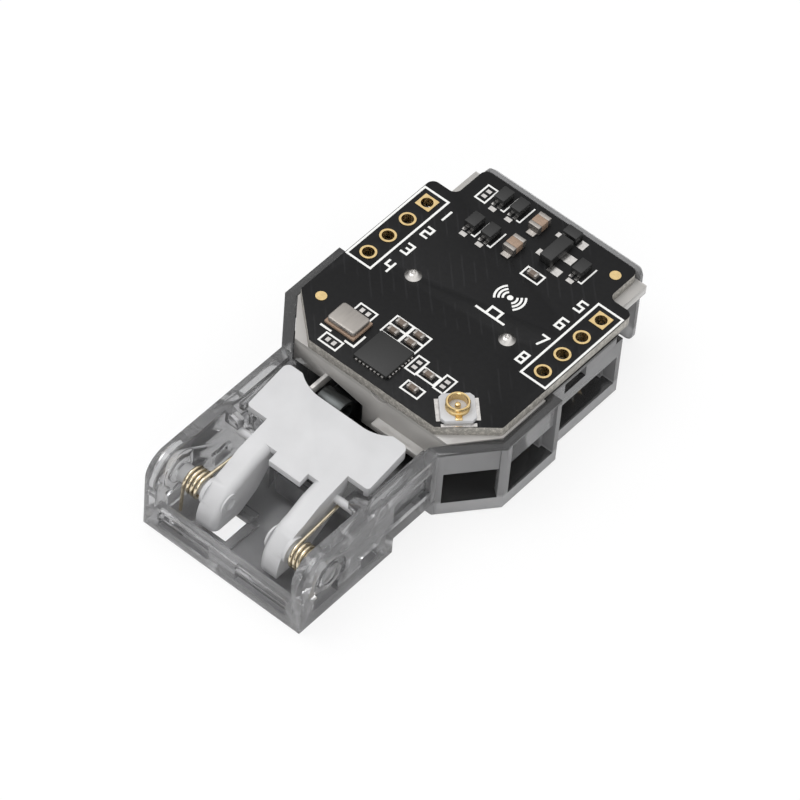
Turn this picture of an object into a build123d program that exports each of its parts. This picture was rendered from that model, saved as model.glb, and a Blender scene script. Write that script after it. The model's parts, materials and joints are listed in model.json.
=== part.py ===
from build123d import *
import math
import os

# Self-powered wireless switch module, in millimetres, +Z up.
# Origin: on the resting face, midway between the front wall and the back plate, on the plane of symmetry.
# The lever end is at -Y and the circuit board lies on top at +Y.

# Overall length, front wall to back plate
overall_length = 43.69

# Front block of the lower moulding, which holds the lever
front_block_width = 17.06
body_lead = 1.34
front_foot_length = 11.6
ear_thickness = 1.13
ear_height = 7.88
ear_round = 2.2
front_wall_thickness = 0.9
front_wall_height = 2.95
front_band_depth = 0.45
front_band_inner = 1.45
front_band_outer = 6.9
front_lip_height = 1.0
front_band_line = 0.2
front_band_lift = 0.05
floor_thickness = 1.0
groove_height = 1.8
groove_floor_thickness = 0.7
groove_riser_thickness = 0.6
floor_window_inner = 1.7
floor_window_width = 2.7
floor_window_start = 2.45
floor_window_length = 2.75
floor_relief_margin = 0.7
floor_lip = 0.25
floor_pad_inner = 1.4
floor_pad_length = 1.1
floor_pad_height = 0.4
ear_window_drop = 0.4
ear_window_height = 1.4
ear_window_front = 1.65
ear_window_front_length = 3.0
ear_window_rear = 7.55
ear_window_rear_length = 2.0
ear_pocket_from_body = 5.35
ear_pocket_length = 4.6
ear_pocket_base = 3.8
ear_pocket_height = 2.4
ear_pocket_depth = 0.45
pivot_ring_radius = 2.0
pivot_ring_depth = 0.25
pivot_boss_radius = 1.35
pivot_dish_radius = 0.85
pivot_dish_depth = 0.1
pivot_cover = 0.35

# Wide body of the lower moulding, which holds the generator
body_width = 24.4
shoulder_length = 4.55
wide_length = 6.95
rear_width = 22.2
tail_width = 14.6
tail_length = 5.19
body_wall = 0.9
base_plate_thickness = 1.6
base_edge_round = 0.3
window_top = 4.95
window_panel_depth = 0.3
window_panel_margin = 0.25
window_column = 0.55
window_overcut = 0.3
back_plate_thickness = 0.8
back_plate_width = 17.2
back_plate_round = 0.8
back_plate_edge = 0.4

# Upper moulding, which drops into the lower one and carries the board
deck_thickness = 1.0
tray_clearance = 0.1
tray_skirt_thickness = 0.6
tray_skirt_depth = 1.6
tray_notch_radius = 1.1
tray_notch_depth = 0.6
tray_notch_x = 0.95
tail_flange_width = 18.8
nose_gap_left = 4.5
nose_gap_right = 0.7
nose_gap_top_left = 6.3
nose_gap_top_right = 5.5
apron_low = 3.4
apron_right = 6.4
apron_thickness = 0.45
porch_left = 1.0
porch_right = 6.8
porch_reach = 0.9
porch_thickness = 0.4
porch_drop = 0.4
jamb_reach = 2.0
jamb_thickness = 0.35
snap_slot_front = 1.75
snap_slot_length = 2.8
snap_slot_height = 1.2
snap_slot_below_rim = 0.4
snap_nib_depth = 0.2
snap_nib_clearance = 0.2

# Circuit board
board_top_height = 9.0
board_thickness = 1.0
board_length = 24.7
board_side_gap = 0.3
board_front_width = 13.6
board_front_corner = 3.8
board_notch_width = 2.6
board_tail_length = 3.95
board_corner_radius = 0.7
board_clearance = 0.05
header_from_back = 10.2
header_row_spacing = 19.05
header_pitch = 2.54
header_hole_diameter = 1.1
header_pad_diameter = 1.5
plating_thickness = 0.05
print_thickness = 0.03
print_line = 0.2
header_frame_gap = 0.55
header_frame_margin = 0.175

# Lever
pivot_from_front = 3.55
pivot_height = 4.3
lever_travel = 7.0
paddle_tilt = 12.5
paddle_thickness = 0.6
paddle_half_width = 6.6
paddle_board_gap = 2.94
paddle_middle_setback = 0.85
paddle_curve_start = 2.5
paddle_curve_end = 4.9
paddle_rear_height = 8.8
wing_length = 4.95
wing_corner_radius = 0.6
wing_front_corner_radius = 0.35
wing_skirt_depth = 1.0
wing_skirt_thickness = 0.5
notch_depth = 1.8
tongue_length = 1.0
tongue_half_width = 1.69
arm_inner = 2.36
arm_outer = 4.4
arm_nose_radius = 3.85
arm_nose_from_pivot = 2.05
arm_nose_height = 2.3
arm_nose_mid_angle = 150
arm_inner_round = 0.7
arm_crown_setback = 0.7
arm_shoulder_run = 1.85
arm_belly_height = 2.0
arm_belly_end = 1.4
arm_rear_depth = 3.6
arm_root_depth = 1.4
trunnion_radius = 0.85
trunnion_clearance = 0.05
hub_radius = 1.25
hub_length = 0.25
arm_boss_radius = 1.05
arm_boss_height = 0.05
arm_dimple_radius = 0.55
arm_dimple_depth = 0.3
peg_radius = 0.375
peg_reach = 6.4
peg_ahead_of_wing = 1.35
peg_height = 6.0
lever_side_clearance = 0.3

# Stops for the lever
stop_gap = 0.03
stop_rib_thickness = 0.8
stop_rib_inner = 6.0
stop_rib_slope = 0.65
stop_wall_half_width = 2.8
stop_wall_setback = 0.55
stop_wall_length = 2.0
stop_wall_thickness = 0.6
stop_margin = 0.3
wing_ledge_lead = 0.6
wing_ledge_length = 1.6
wing_ledge_thickness = 0.4
side_ledge_below_rim = 0.6
side_ledge_height = 0.7

# Torsion springs
wire_diameter = 0.32
coil_radius = 1.15
coil_pitch = 0.42
coil_turns = 3
spring_gap = 0.25
leg_overreach = 0.35

# Rocker with its magnet
rocker_behind_board_edge = 3.86
rocker_pin_radius = 0.6
rocker_pin_length = 1.3
rocker_rest_tilt = 4.2
rocker_half_width = 3.9
rocker_half_height = 2.0
rocker_front = 3.1
rocker_rear = 2.4
rocker_shell = 0.3
rocker_front_web = 1.0
rocker_arm_drop = 1.0
rocker_arm_rise = 0.3
rocker_nose_radius = 1.3
rocker_nose_wall = 0.4
rocker_nose_bore_depth = 1.2
rocker_nose_inner = 1.4
rocker_nose_to_claw = 3.09
rocker_nose_rise = 0.3
rocker_tongue_thickness = 0.6
rocker_tongue_width = 1.3
rocker_tongue_play = 0.25
rocker_tongue_inset = 0.35
rocker_follow_ratio = 1.2
claw_length = 1.5
claw_lip = 0.55
claw_spine = 0.5
claw_side_margin = 0.15
claw_root_depth = 0.3
claw_trim = 0.1
pole_plate_thickness = 0.6
pole_plate_gap = 2.09
magnet_length = 3.6
magnet_play = 0.05
bearing_thickness = 0.9
bearing_side_gap = 0.4
bearing_wall = 0.75

# Coil and core
core_thickness = 1.4
core_leg_half_width = 1.7
core_tip_from_pivot = 2.7
core_outer_inner = 5.0
core_outer_width = 1.2
core_back_length = 1.4
core_back_gap = 0.3
bobbin_wall = 0.55
bobbin_play = 0.05
bobbin_flange = 1.0
bobbin_flange_half_width = 4.8
bobbin_rear_gap = 0.4
winding_margin = 0.4
floor_gap = 0.15
coil_pin_spacing = 10.25
coil_pin_radius = 0.3
coil_pin_from_header = 3.15
coil_pin_shoulder = 0.55
coil_pin_shoulder_rise = 0.2
coil_pin_relief = 0.4
solder_blob_radius = 0.75
solder_blob_height = 0.35

# Small parts on the board
crystal_size = (3.2, 2.5)
crystal_base_height = 0.3
crystal_can_height = 0.5
crystal_can_margin = 0.12
crystal_can_corner = 0.3
controller_size = 3.6
controller_height = 0.45
chip_length = 1.0
chip_width = 0.55
chip_height = 0.4
pad_thickness = 0.05
chip_pad_length = 0.36
chip_pad_half_width = 0.23
small_package_length = 1.5
small_package_width = 1.1
small_package_height = 0.75
leg_inner = 0.12
leg_outer = 0.45
leg_reach = 0.4
leg_overlap = 0.1
front_leg_half_width = 0.32
front_leg_start = 0.55
front_leg_end = 1.0
power_chip_length = 3.0
power_chip_width = 1.25
power_chip_height = 0.9
power_pad_reach = 1.1
power_pad_short_reach = 0.75
power_pad_overlap = 0.1
power_pad_upper = (-0.2, 0.75)
power_pad_lower = (-1.95, -1.15)
power_pad_left = (-1.1, -0.45)
top_package_size = (1.5, 1.0)
top_pad_left = (-1.2, -0.6, -0.85, -0.35)
top_pad_right = (0.9, 1.6, -0.6, 0.3)
tall_capacitor_length = 1.7
tall_capacitor_width = 1.2
tall_capacitor_height = 0.85
tall_capacitor_end = 0.42
capacitor_solder_reach = 0.5
fiducial_diameter = 1.0
fiducial_right_margin = 3.75
fiducial_right_from_back = 1.7
fiducial_left_margin = 1.8
fiducial_left_from_front = 4.3
socket_margin = 3.95
socket_from_front = 2.65
socket_width = 3.0
socket_corner = 0.35
socket_base_height = 0.45
socket_ring_radius = 1.05
socket_ring_bore = 0.8
socket_ring_height = 1.2
socket_pin_radius = 0.25
socket_pin_height = 0.9
socket_tab_width = 0.6
socket_tab_height = 0.12
socket_pad_reach = 0.35
socket_pad_length = 2.4

# Sizes that follow from the ones above
board_setback = overall_length - back_plate_thickness - board_clearance - board_length
board_width = body_width - 2 * (body_wall + board_side_gap)
front_block_length = board_setback - body_lead
paddle_rear = board_setback - paddle_board_gap
paddle_rear_middle = paddle_rear - paddle_middle_setback
wing_front = paddle_rear - wing_length
notch_front = wing_front - notch_depth
tongue_front = notch_front - tongue_length
peg_from_pivot = wing_front - peg_ahead_of_wing - pivot_from_front
stop_wall_front = notch_front + stop_wall_setback
rocker_pivot_from_front = board_setback + rocker_behind_board_edge
claw_from_rocker = (rocker_pivot_from_front - pivot_from_front) / (1 + rocker_follow_ratio)
rocker_nose_reach = claw_from_rocker - rocker_nose_to_claw
board_tail_width = board_width - 2 * board_notch_width
spring_inset = arm_outer + hub_length + spring_gap + wire_diameter / 2

# Places worked out from the sizes above
front_y = -overall_length / 2
back_y = overall_length / 2
block_half = front_block_width / 2
ear_inner = block_half - ear_thickness
body_half = body_width / 2
rear_half = rear_width / 2
tail_half = tail_width / 2
body_start_y = front_y + front_block_length
wide_start_y = body_start_y + shoulder_length
rear_start_y = wide_start_y + wide_length
plate_front_y = back_y - back_plate_thickness
tail_start_y = plate_front_y - tail_length
board_under = board_top_height - board_thickness
deck_under = board_under - deck_thickness
wall_top = board_under - board_clearance
board_back_y = plate_front_y - board_clearance
board_front_y = board_back_y - board_length
header_y = board_back_y - header_from_back
pivot_y = front_y + pivot_from_front
rocker_y = front_y + rocker_pivot_from_front
flange_y = header_y - coil_pin_from_header
pole_plate_rear_y = flange_y - bobbin_flange / 2 - pole_plate_gap
groove_top = groove_height + groove_floor_thickness


def block(x0, x1, y0, y1, z0, z1):
    """Box between two corners."""
    centre = ((x0 + x1) / 2, (y0 + y1) / 2, (z0 + z1) / 2)
    return Pos(*centre) * Box(abs(x1 - x0), abs(y1 - y0), abs(z1 - z0))


def sided(x0, x1, y0, y1, z0, z1):
    """Box and its mirror image across the plane of symmetry."""
    return block(x0, x1, y0, y1, z0, z1) + block(-x1, -x0, y0, y1, z0, z1)


def both(shape):
    """A shape and its mirror image across the plane of symmetry."""
    return shape + mirror(shape, about=Plane.YZ)


def disc(x, y, z0, z1, radius):
    """Upright cylinder from z0 to z1."""
    return Pos(x, y, (z0 + z1) / 2) * Cylinder(radius, z1 - z0)


def crossbar(x0, x1, y, z, radius):
    """Cylinder along X."""
    return Pos((x0 + x1) / 2, y, z) * Rot(0, 90, 0) * Cylinder(radius, x1 - x0)


def plan_prism(points, z0, z1):
    """Plan outline raised from z0 to z1."""
    return extrude(Plane.XY.offset(z0) * Polygon(*points, align=None), amount=z1 - z0, dir=(0, 0, 1))


def side_prism(points, x0, x1):
    """Outline in the YZ plane, carried from x0 to x1."""
    return extrude(Plane.YZ.offset(x0) * Polygon(*points, align=None), amount=x1 - x0, dir=(1, 0, 0))


def mirrored_outline(right_points):
    """Closed plan outline from its right half, front to back."""
    left_points = [(-x, y) for x, y in reversed(right_points)]
    return right_points + left_points


def body_outline(inset=0.0):
    """Plan outline of the wide body, moved inwards by inset."""
    slant = math.hypot(body_half - block_half, shoulder_length)
    slip = inset * (slant - (body_half - block_half)) / shoulder_length
    start_slip = inset * slant / shoulder_length
    return mirrored_outline([
        (block_half - start_slip, body_start_y),
        (body_half - inset, wide_start_y + slip),
        (body_half - inset, rear_start_y - inset),
        (rear_half - inset, rear_start_y - inset),
        (rear_half - inset, tail_start_y - inset),
        (tail_half - inset, tail_start_y - inset),
        (tail_half - inset, plate_front_y),
    ])


def shoulder_tool(x_out, x_in, run_start, run_end, z0, z1):
    """Box lying along the right shoulder wall, measured inwards from the wall's outer face."""
    angle = math.degrees(math.atan2(shoulder_length, body_half - block_half))
    tool = block(run_start, run_end, x_out, x_in, z0, z1)
    return Pos(block_half, body_start_y, 0) * Rot(0, 0, angle) * tool


def body_windows():
    """Openings in the wide body's walls, with a shallow panel above each."""
    depth = window_panel_depth
    slant = math.hypot(body_half - block_half, shoulder_length)
    run0 = window_column
    run1 = slant - window_column
    low = base_plate_thickness
    opening = shoulder_tool(-1, body_wall + window_overcut, run0, run1, low, window_top)
    panel_top = wall_top - window_panel_margin
    opening += shoulder_tool(-1, depth, run0, run1, window_top, panel_top)
    wide0 = wide_start_y + window_column
    wide1 = rear_start_y - window_column
    opening += block(body_half - body_wall - window_overcut, body_half + 1, wide0, wide1, low, window_top)
    opening += block(body_half - depth, body_half + 1, wide0, wide1, window_top, panel_top)
    rear0 = rear_start_y + window_column
    rear1 = tail_start_y - window_column
    inside = rear_half - body_wall - window_overcut
    opening += block(inside, rear_half + 1, rear0, rear1, low, window_top)
    slot0 = rear_start_y + snap_slot_front
    slot1 = slot0 + snap_slot_length
    slot_top = wall_top - snap_slot_below_rim
    opening += block(inside, rear_half + 1, slot0, slot1, slot_top - snap_slot_height, slot_top)
    return both(opening)


def front_block():
    """Ears, front wall and floor round the lever."""
    solid = block(-block_half, block_half, front_y, body_start_y, 0, ear_height)
    round_edges = solid.edges().filter_by(Axis.X).group_by(Axis.Z)[-1].sort_by(Axis.Y)[0]
    solid = fillet(round_edges, ear_round)
    solid -= block(-ear_inner, ear_inner, front_y + front_wall_thickness, body_start_y + 1,
                   floor_thickness, ear_height + 1)
    solid -= block(-ear_inner, ear_inner, front_y - 1, front_y + front_wall_thickness + 0.01,
                   front_wall_height, ear_height + 1)
    groove_y = front_y + front_foot_length
    solid -= block(-block_half - 1, block_half + 1, groove_y, body_start_y + 1, -1, groove_height)
    solid += block(-ear_inner, ear_inner, groove_y, body_start_y, groove_height, groove_top)
    solid += block(-ear_inner, ear_inner, groove_y - groove_riser_thickness, groove_y, 0, groove_top)
    return solid


def front_wall_bands():
    """Shallow bands across the front wall."""
    line_height = (front_lip_height + front_wall_height) / 2 + front_band_lift
    low = sided(front_band_inner, front_band_outer, front_y - 1, front_y + front_band_depth,
                front_lip_height, line_height)
    high = sided(front_band_inner, front_band_outer, front_y - 1, front_y + front_band_depth,
                 line_height + front_band_line, front_wall_height - front_band_line)
    return low + high


def ear_details():
    """Recesses and windows in the outer faces of the ears."""
    low = groove_height - ear_window_drop
    high = low + ear_window_height
    front0 = front_y + ear_window_front
    rear0 = front_y + ear_window_rear
    pocket0 = body_start_y - ear_pocket_from_body
    inside = ear_inner - window_overcut
    cut = block(inside, block_half + 1, front0, front0 + ear_window_front_length, low, high)
    cut += block(inside, block_half + 1, rear0, rear0 + ear_window_rear_length, low, high)
    cut += block(block_half - ear_pocket_depth, block_half + 1, pocket0, pocket0 + ear_pocket_length,
                 ear_pocket_base, ear_pocket_base + ear_pocket_height)
    bore = trunnion_radius + trunnion_clearance
    cut += crossbar(ear_inner - 1, block_half - pivot_cover, pivot_y, pivot_height, bore)
    ring = crossbar(block_half - pivot_ring_depth, block_half + 1, pivot_y, pivot_height, pivot_ring_radius)
    cut += ring - crossbar(ear_inner, block_half + 2, pivot_y, pivot_height, pivot_boss_radius)
    cut += crossbar(block_half - pivot_dish_depth, block_half + 1, pivot_y, pivot_height, pivot_dish_radius)
    return both(cut)


def floor_window():
    """Opening through the front floor, under the left arm, wider below a thin lip."""
    start = front_y + floor_window_start
    end = start + floor_window_length
    right = -floor_window_inner
    left = right - floor_window_width
    margin = floor_relief_margin
    cut = block(left, right, start, end, -1, floor_thickness + 1)
    relief_top = floor_thickness - floor_lip
    return cut + block(left - margin, right + margin, start - margin, end + margin, -1, relief_top)


def floor_pad():
    """Low pad on the front floor, behind its opening."""
    start = front_y + floor_window_start + floor_window_length
    left = -floor_window_inner - floor_window_width
    return block(left, -floor_pad_inner, start, start + floor_pad_length,
                 floor_thickness - floor_lip, floor_thickness + floor_pad_height)


def lever_stops():
    """Ribs above the lever's pegs, ledges under its wings and the wall under its root."""
    peg_y = pivot_y + peg_from_pivot
    rib_low = peg_height + peg_radius + stop_gap
    profile = [
        (stop_rib_inner, rib_low),
        (ear_inner, rib_low),
        (ear_inner, ear_height),
        (stop_rib_inner, ear_height - stop_rib_slope),
    ]
    rib_plane = Plane(origin=(0, peg_y + stop_rib_thickness / 2, 0), x_dir=(1, 0, 0), z_dir=(0, -1, 0))
    rib = extrude(rib_plane * Polygon(*profile, align=None), amount=stop_rib_thickness, dir=(0, -1, 0))
    ledge_y = front_y + wing_front - wing_ledge_lead
    ledge_top = paddle_under(wing_front, wing_skirt_depth) - lever_drop(wing_front) - stop_margin
    ledge = block(arm_outer + lever_side_clearance, ear_inner, ledge_y, ledge_y + wing_ledge_length,
                  ledge_top - wing_ledge_thickness, ledge_top)
    side_top = ear_height - side_ledge_below_rim
    side_ledge = block(paddle_half_width + lever_side_clearance, ear_inner, front_y + wing_front,
                       body_start_y, side_top - side_ledge_height, side_top)
    wall_y = front_y + stop_wall_front
    wall_high = arm_under(stop_wall_front) - lever_drop(stop_wall_front) - stop_margin
    wall = block(0, stop_wall_half_width, wall_y, wall_y + stop_wall_length, floor_thickness / 2, wall_high)
    wall -= block(-1, stop_wall_half_width - stop_wall_thickness, wall_y + stop_wall_thickness,
                  wall_y + stop_wall_length + 1, floor_thickness, wall_high + 1)
    return both(rib + ledge + side_ledge + wall)


def paddle_top(from_front):
    """Height of the paddle's top face at a distance from the front wall."""
    return paddle_rear_height - math.tan(math.radians(paddle_tilt)) * (paddle_rear - from_front)


def paddle_under(from_front, depth=paddle_thickness):
    """Height of the paddle's bottom face, or of another depth, at a distance from the front wall."""
    return paddle_top(from_front) - depth / math.cos(math.radians(paddle_tilt))


def arm_under(from_front):
    """Height of an arm's bottom edge behind the notch, at a distance from the front wall."""
    low = paddle_top(wing_front) - arm_rear_depth
    high = paddle_top(wing_front) - arm_root_depth
    return low + (high - low) * (from_front - notch_front) / (wing_front - notch_front)


def lever_drop(from_front):
    """How far a point of the lever sinks when the lever is pressed."""
    return (from_front - pivot_from_front) * math.sin(math.radians(lever_travel))


def bearing_posts():
    """Posts that hold the rocker's pins."""
    outer = rocker_half_width + bearing_side_gap + bearing_thickness
    hole = rocker_pin_radius + trunnion_clearance
    reach = hole + bearing_wall
    post = block(outer - bearing_thickness, outer, rocker_y - reach, rocker_y + reach,
                 base_plate_thickness - 0.2, pivot_height + reach)
    post -= crossbar(0, outer + 1, rocker_y, pivot_height, hole)
    return both(post)


def wide_body():
    """Base plate and outer walls round the generator."""
    outer = body_outline()
    inner = body_outline(body_wall)
    walls = plan_prism(outer, 0, wall_top)
    bottom_edges = walls.edges().group_by(Axis.Z)[0].filter_by(lambda e: abs(e.center().X) > ear_inner)
    walls = fillet(bottom_edges, base_edge_round)
    walls -= plan_prism(inner, base_plate_thickness, wall_top + 1)
    mouth = block(-ear_inner, ear_inner, body_start_y - 1, body_start_y + body_wall + 1,
                  groove_top, wall_top + 1)
    walls -= mouth
    tail_cut = block(-rear_half - 1, rear_half + 1, tail_start_y - body_wall, plate_front_y,
                     deck_under - board_clearance, wall_top + 1)
    walls -= tail_cut
    riser = block(-ear_inner, ear_inner, body_start_y, body_start_y + body_wall, 0, groove_top)
    return walls + riser


def back_plate():
    """Plate behind the board, as tall as the whole body."""
    half = back_plate_width / 2
    plate = block(-half, half, plate_front_y, back_y, 0, board_top_height)
    plate = fillet(plate.edges().filter_by(Axis.Y), back_plate_round)
    top_rear = plate.edges().group_by(Axis.Z)[-1].sort_by(Axis.Y)[-1]
    return chamfer(top_rear, back_plate_edge)


def base_housing():
    """Clear lower moulding."""
    body = front_block() + wide_body() + back_plate() + lever_stops() + bearing_posts() + floor_pad()
    body -= front_wall_bands()
    body -= ear_details()
    body -= floor_window()
    body -= body_windows()
    return body


def nose_opening():
    """Opening in the skirt for the rocker's nose, with a sloping top edge."""
    profile = [
        (-nose_gap_left, 0),
        (-nose_gap_left, nose_gap_top_left),
        (-nose_gap_right, nose_gap_top_right),
        (-nose_gap_right, 0),
    ]
    face = Plane(origin=(0, board_front_y - 0.1, 0), x_dir=(1, 0, 0), z_dir=(0, -1, 0))
    return extrude(face * Polygon(*profile, align=None), amount=tray_skirt_thickness + 0.2, dir=(0, 1, 0))


def upper_housing():
    """Clear upper moulding: deck under the board, skirt with apron, porch and jamb, tail flange and nibs."""
    gap = body_wall + tray_clearance
    outline = body_outline(gap)
    front_cut = block(-body_half, body_half, front_y, board_front_y, -1, board_top_height)
    tray = plan_prism(outline, deck_under - tray_skirt_depth, board_under) - front_cut
    hollow = plan_prism(body_outline(gap + tray_skirt_thickness), 0, deck_under)
    skirt_rear_y = board_front_y + tray_skirt_thickness
    hollow -= block(-body_half, body_half, front_y, skirt_rear_y, -1, board_top_height)
    tray -= hollow
    tail_hollow_y = tail_start_y - gap - tray_skirt_thickness - 0.1
    tail_hollow = block(-tail_half, tail_half, tail_hollow_y, back_y, 0, deck_under)
    tray -= tail_hollow
    tray -= nose_opening()
    skirt_low = deck_under - tray_skirt_depth
    tray += block(-nose_gap_right, apron_right, board_front_y, board_front_y + apron_thickness,
                  apron_low, skirt_low + 0.1)
    porch_low = skirt_low - porch_drop
    tray += block(porch_left, porch_right, board_front_y - porch_reach, board_front_y + apron_thickness,
                  porch_low, porch_low + porch_thickness)
    tray += block(-nose_gap_left - jamb_thickness, -nose_gap_left, board_front_y - jamb_reach,
                  board_front_y + 0.1, skirt_low, nose_gap_top_left)
    flange = block(-tail_flange_width / 2, tail_flange_width / 2, tail_start_y, board_back_y,
                   deck_under, board_under)
    tray += flange
    notch_z = board_under + tray_notch_radius - tray_notch_depth
    notch = Pos(tray_notch_x, board_front_y, notch_z) * Rot(90, 0, 0)
    tray -= notch * Cylinder(tray_notch_radius, tray_skirt_thickness)
    nib_y0 = rear_start_y + snap_slot_front + snap_nib_clearance
    nib_y1 = nib_y0 + snap_slot_length - 2 * snap_nib_clearance
    nib_top = wall_top - snap_slot_below_rim - snap_nib_clearance
    nib_low = nib_top - snap_slot_height + 2 * snap_nib_clearance
    face = rear_half - gap
    tray += sided(face - 0.01, face + tray_clearance + snap_nib_depth, nib_y0, nib_y1, nib_low, nib_top)
    pin_x = coil_pin_spacing / 2
    tray -= both(disc(pin_x, flange_y, 0, board_top_height, coil_pin_radius + coil_pin_relief))
    row_x = header_row_spacing / 2
    for index in range(4):
        hole_y = header_y + (index - 1.5) * header_pitch
        tray -= both(disc(row_x, hole_y, 0, board_top_height, header_pad_diameter / 2))
    return tray


def paddle_slab(depth, x0, x1):
    """Layer of some depth under the paddle's top face."""
    rear = paddle_rear + 1
    return side_prism([
        (front_y, paddle_top(0)),
        (front_y + rear, paddle_top(rear)),
        (front_y + rear, paddle_under(rear, depth)),
        (front_y, paddle_under(0, depth)),
    ], x0, x1)


def paddle():
    """Sloping plate of the lever with its tongue, wings and the wings' side skirts."""
    rear_y = front_y + paddle_rear
    middle_y = front_y + paddle_rear_middle
    wing_y = front_y + wing_front
    half = paddle_half_width
    curve_x = paddle_curve_end
    straight_x = paddle_curve_start
    with BuildPart() as plan:
        with BuildSketch(Plane.XY):
            with BuildLine():
                Line((0, middle_y), (straight_x, middle_y))
                TangentArc((straight_x, middle_y), (curve_x, rear_y), tangent=(1, 0.05))
                Line((curve_x, rear_y), (half, rear_y))
                Line((half, rear_y), (half, wing_y))
                Line((half, wing_y), (arm_outer, wing_y))
                Line((arm_outer, wing_y), (arm_outer, front_y + notch_front))
                Line((arm_outer, front_y + notch_front), (tongue_half_width, front_y + notch_front))
                Line((tongue_half_width, front_y + notch_front), (tongue_half_width, front_y + tongue_front))
                Line((tongue_half_width, front_y + tongue_front), (0, front_y + tongue_front))
                Line((0, front_y + tongue_front), (0, middle_y))
            make_face()
            mirror(about=Plane.YZ)
        extrude(amount=board_top_height + 2)
        corners = plan.edges().filter_by(Axis.Z).filter_by(lambda e: abs(e.center().X) > half - 0.1)
        fillet(corners.group_by(Axis.Y)[-1], wing_corner_radius)
        corners = plan.edges().filter_by(Axis.Z).filter_by(lambda e: abs(e.center().X) > half - 0.1)
        fillet(corners.group_by(Axis.Y)[0], wing_front_corner_radius)
    slab = paddle_slab(paddle_thickness, -half - 1, half + 1)
    skirt = paddle_slab(wing_skirt_depth, half - wing_skirt_thickness, half + 1)
    return (plan.part & slab) + (plan.part & both(skirt))


def lever_arm():
    """Right arm, with a long rounded nose in front of the trunnion."""
    nose_y = pivot_y + arm_nose_from_pivot
    nose_z = arm_nose_height
    front_tip = nose_y - math.sqrt(arm_nose_radius ** 2 - (arm_belly_height - nose_z) ** 2)
    belly_end_y = pivot_y + arm_belly_end
    rear_root = front_y + wing_front
    top_root = paddle_top(wing_front)
    crown_y = nose_y - arm_crown_setback
    crown_z = nose_z + math.sqrt(arm_nose_radius ** 2 - arm_crown_setback ** 2)
    mid_angle = math.radians(arm_nose_mid_angle)
    mid_y = nose_y + arm_nose_radius * math.cos(mid_angle)
    mid_point = (mid_y, nose_z + arm_nose_radius * math.sin(mid_angle))
    shoulder_y = crown_y + arm_shoulder_run
    shoulder_z = paddle_top(shoulder_y - front_y)
    with BuildPart() as arm:
        with BuildSketch(Plane.YZ.offset(arm_inner)):
            with BuildLine():
                ThreePointArc((front_tip, arm_belly_height), mid_point, (crown_y, crown_z))
                Line((crown_y, crown_z), (shoulder_y, shoulder_z))
                Line((shoulder_y, shoulder_z), (rear_root, top_root))
                Line((rear_root, top_root), (rear_root, arm_under(wing_front)))
                Line((rear_root, arm_under(wing_front)), (front_y + notch_front, arm_under(notch_front)))
                Line((front_y + notch_front, arm_under(notch_front)), (belly_end_y, arm_belly_height))
                Line((belly_end_y, arm_belly_height), (front_tip, arm_belly_height))
            make_face()
        extrude(amount=arm_outer - arm_inner)
        inner_edges = arm.edges().filter_by(lambda e: abs(e.center().X - arm_inner) < 0.01)
        fillet(inner_edges.filter_by(lambda e: e.center().Z > pivot_height), arm_inner_round)
    return arm.part


def claw():
    """Claw under the paddle's left side, closed round the rocker's tongue from the front."""
    tongue_y, tongue_z = tongue_contact()
    x1 = -rocker_nose_inner - claw_side_margin
    x0 = x1 - rocker_tongue_width - 2 * claw_side_margin
    half_slot = rocker_tongue_thickness / 2 + rocker_tongue_play
    y0 = tongue_y - claw_length / 2 - claw_spine + claw_trim
    y1 = tongue_y + claw_length / 2 - claw_trim
    top = paddle_top(y0 - front_y) - claw_root_depth
    body = block(x0, x1, y0, y1, tongue_z - half_slot - claw_lip, top)
    body -= block(x0 - 1, x1 + 1, y0 + claw_spine, y1 + 1, tongue_z - half_slot, tongue_z + half_slot)
    return body


def tongue_contact():
    """Where the claw holds the tongue at rest: both turn through equal arcs there."""
    tilt = math.radians(rocker_rest_tilt)
    rise = rocker_nose_rise * math.cos(tilt) + claw_from_rocker * math.sin(tilt)
    return rocker_y - claw_from_rocker, pivot_height + rise


def lever():
    """White moulding: paddle, arms, trunnions, pegs and claw."""
    peg_y = pivot_y + peg_from_pivot
    arm = lever_arm()
    arm += crossbar(arm_inner - arm_boss_height, arm_inner + 0.1, pivot_y, pivot_height, arm_boss_radius)
    arm += crossbar(arm_outer - 0.1, arm_outer + hub_length, pivot_y, pivot_height, hub_radius)
    end = block_half - pivot_cover - trunnion_clearance
    arm += crossbar(arm_outer - 0.1, end, pivot_y, pivot_height, trunnion_radius)
    arm += crossbar(arm_outer - 0.4, peg_reach, peg_y, peg_height, peg_radius)
    arm -= crossbar(arm_inner - 1, arm_inner - arm_boss_height + arm_dimple_depth, pivot_y, pivot_height,
                    arm_dimple_radius)
    return paddle() + both(arm) + claw()


def torsion_spring():
    """Right spring: coil round the trunnion, one leg under the peg, one leg on the floor."""
    wire = wire_diameter / 2
    target_y = peg_from_pivot
    target_z = peg_height - peg_radius - wire - stop_gap - pivot_height
    distance = math.hypot(target_y, target_z)
    start = math.degrees(math.atan2(target_z, target_y) + math.acos(coil_radius / distance))
    sweep_angle = 180 - start + 360 * coil_turns
    coil = Helix(pitch=coil_pitch, height=coil_pitch * sweep_angle / 360, radius=coil_radius)
    long_leg = math.sqrt(distance ** 2 - coil_radius ** 2) + leg_overreach
    short_leg = pivot_height - floor_thickness - stop_gap
    leg_under_peg = Line(coil @ 0 - (coil % 0) * long_leg, coil @ 0)
    leg_to_floor = Line(coil @ 1, coil @ 1 + (coil % 1) * short_leg)
    path = Wire([leg_under_peg, coil, leg_to_floor])
    section = Plane(origin=path @ 0, z_dir=path % 0) * Circle(wire)
    facing = (0, math.cos(math.radians(start)), math.sin(math.radians(start)))
    place = Plane(origin=(spring_inset, pivot_y, pivot_height), x_dir=facing, z_dir=(1, 0, 0))
    return place.location * sweep(section, path=path)


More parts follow.
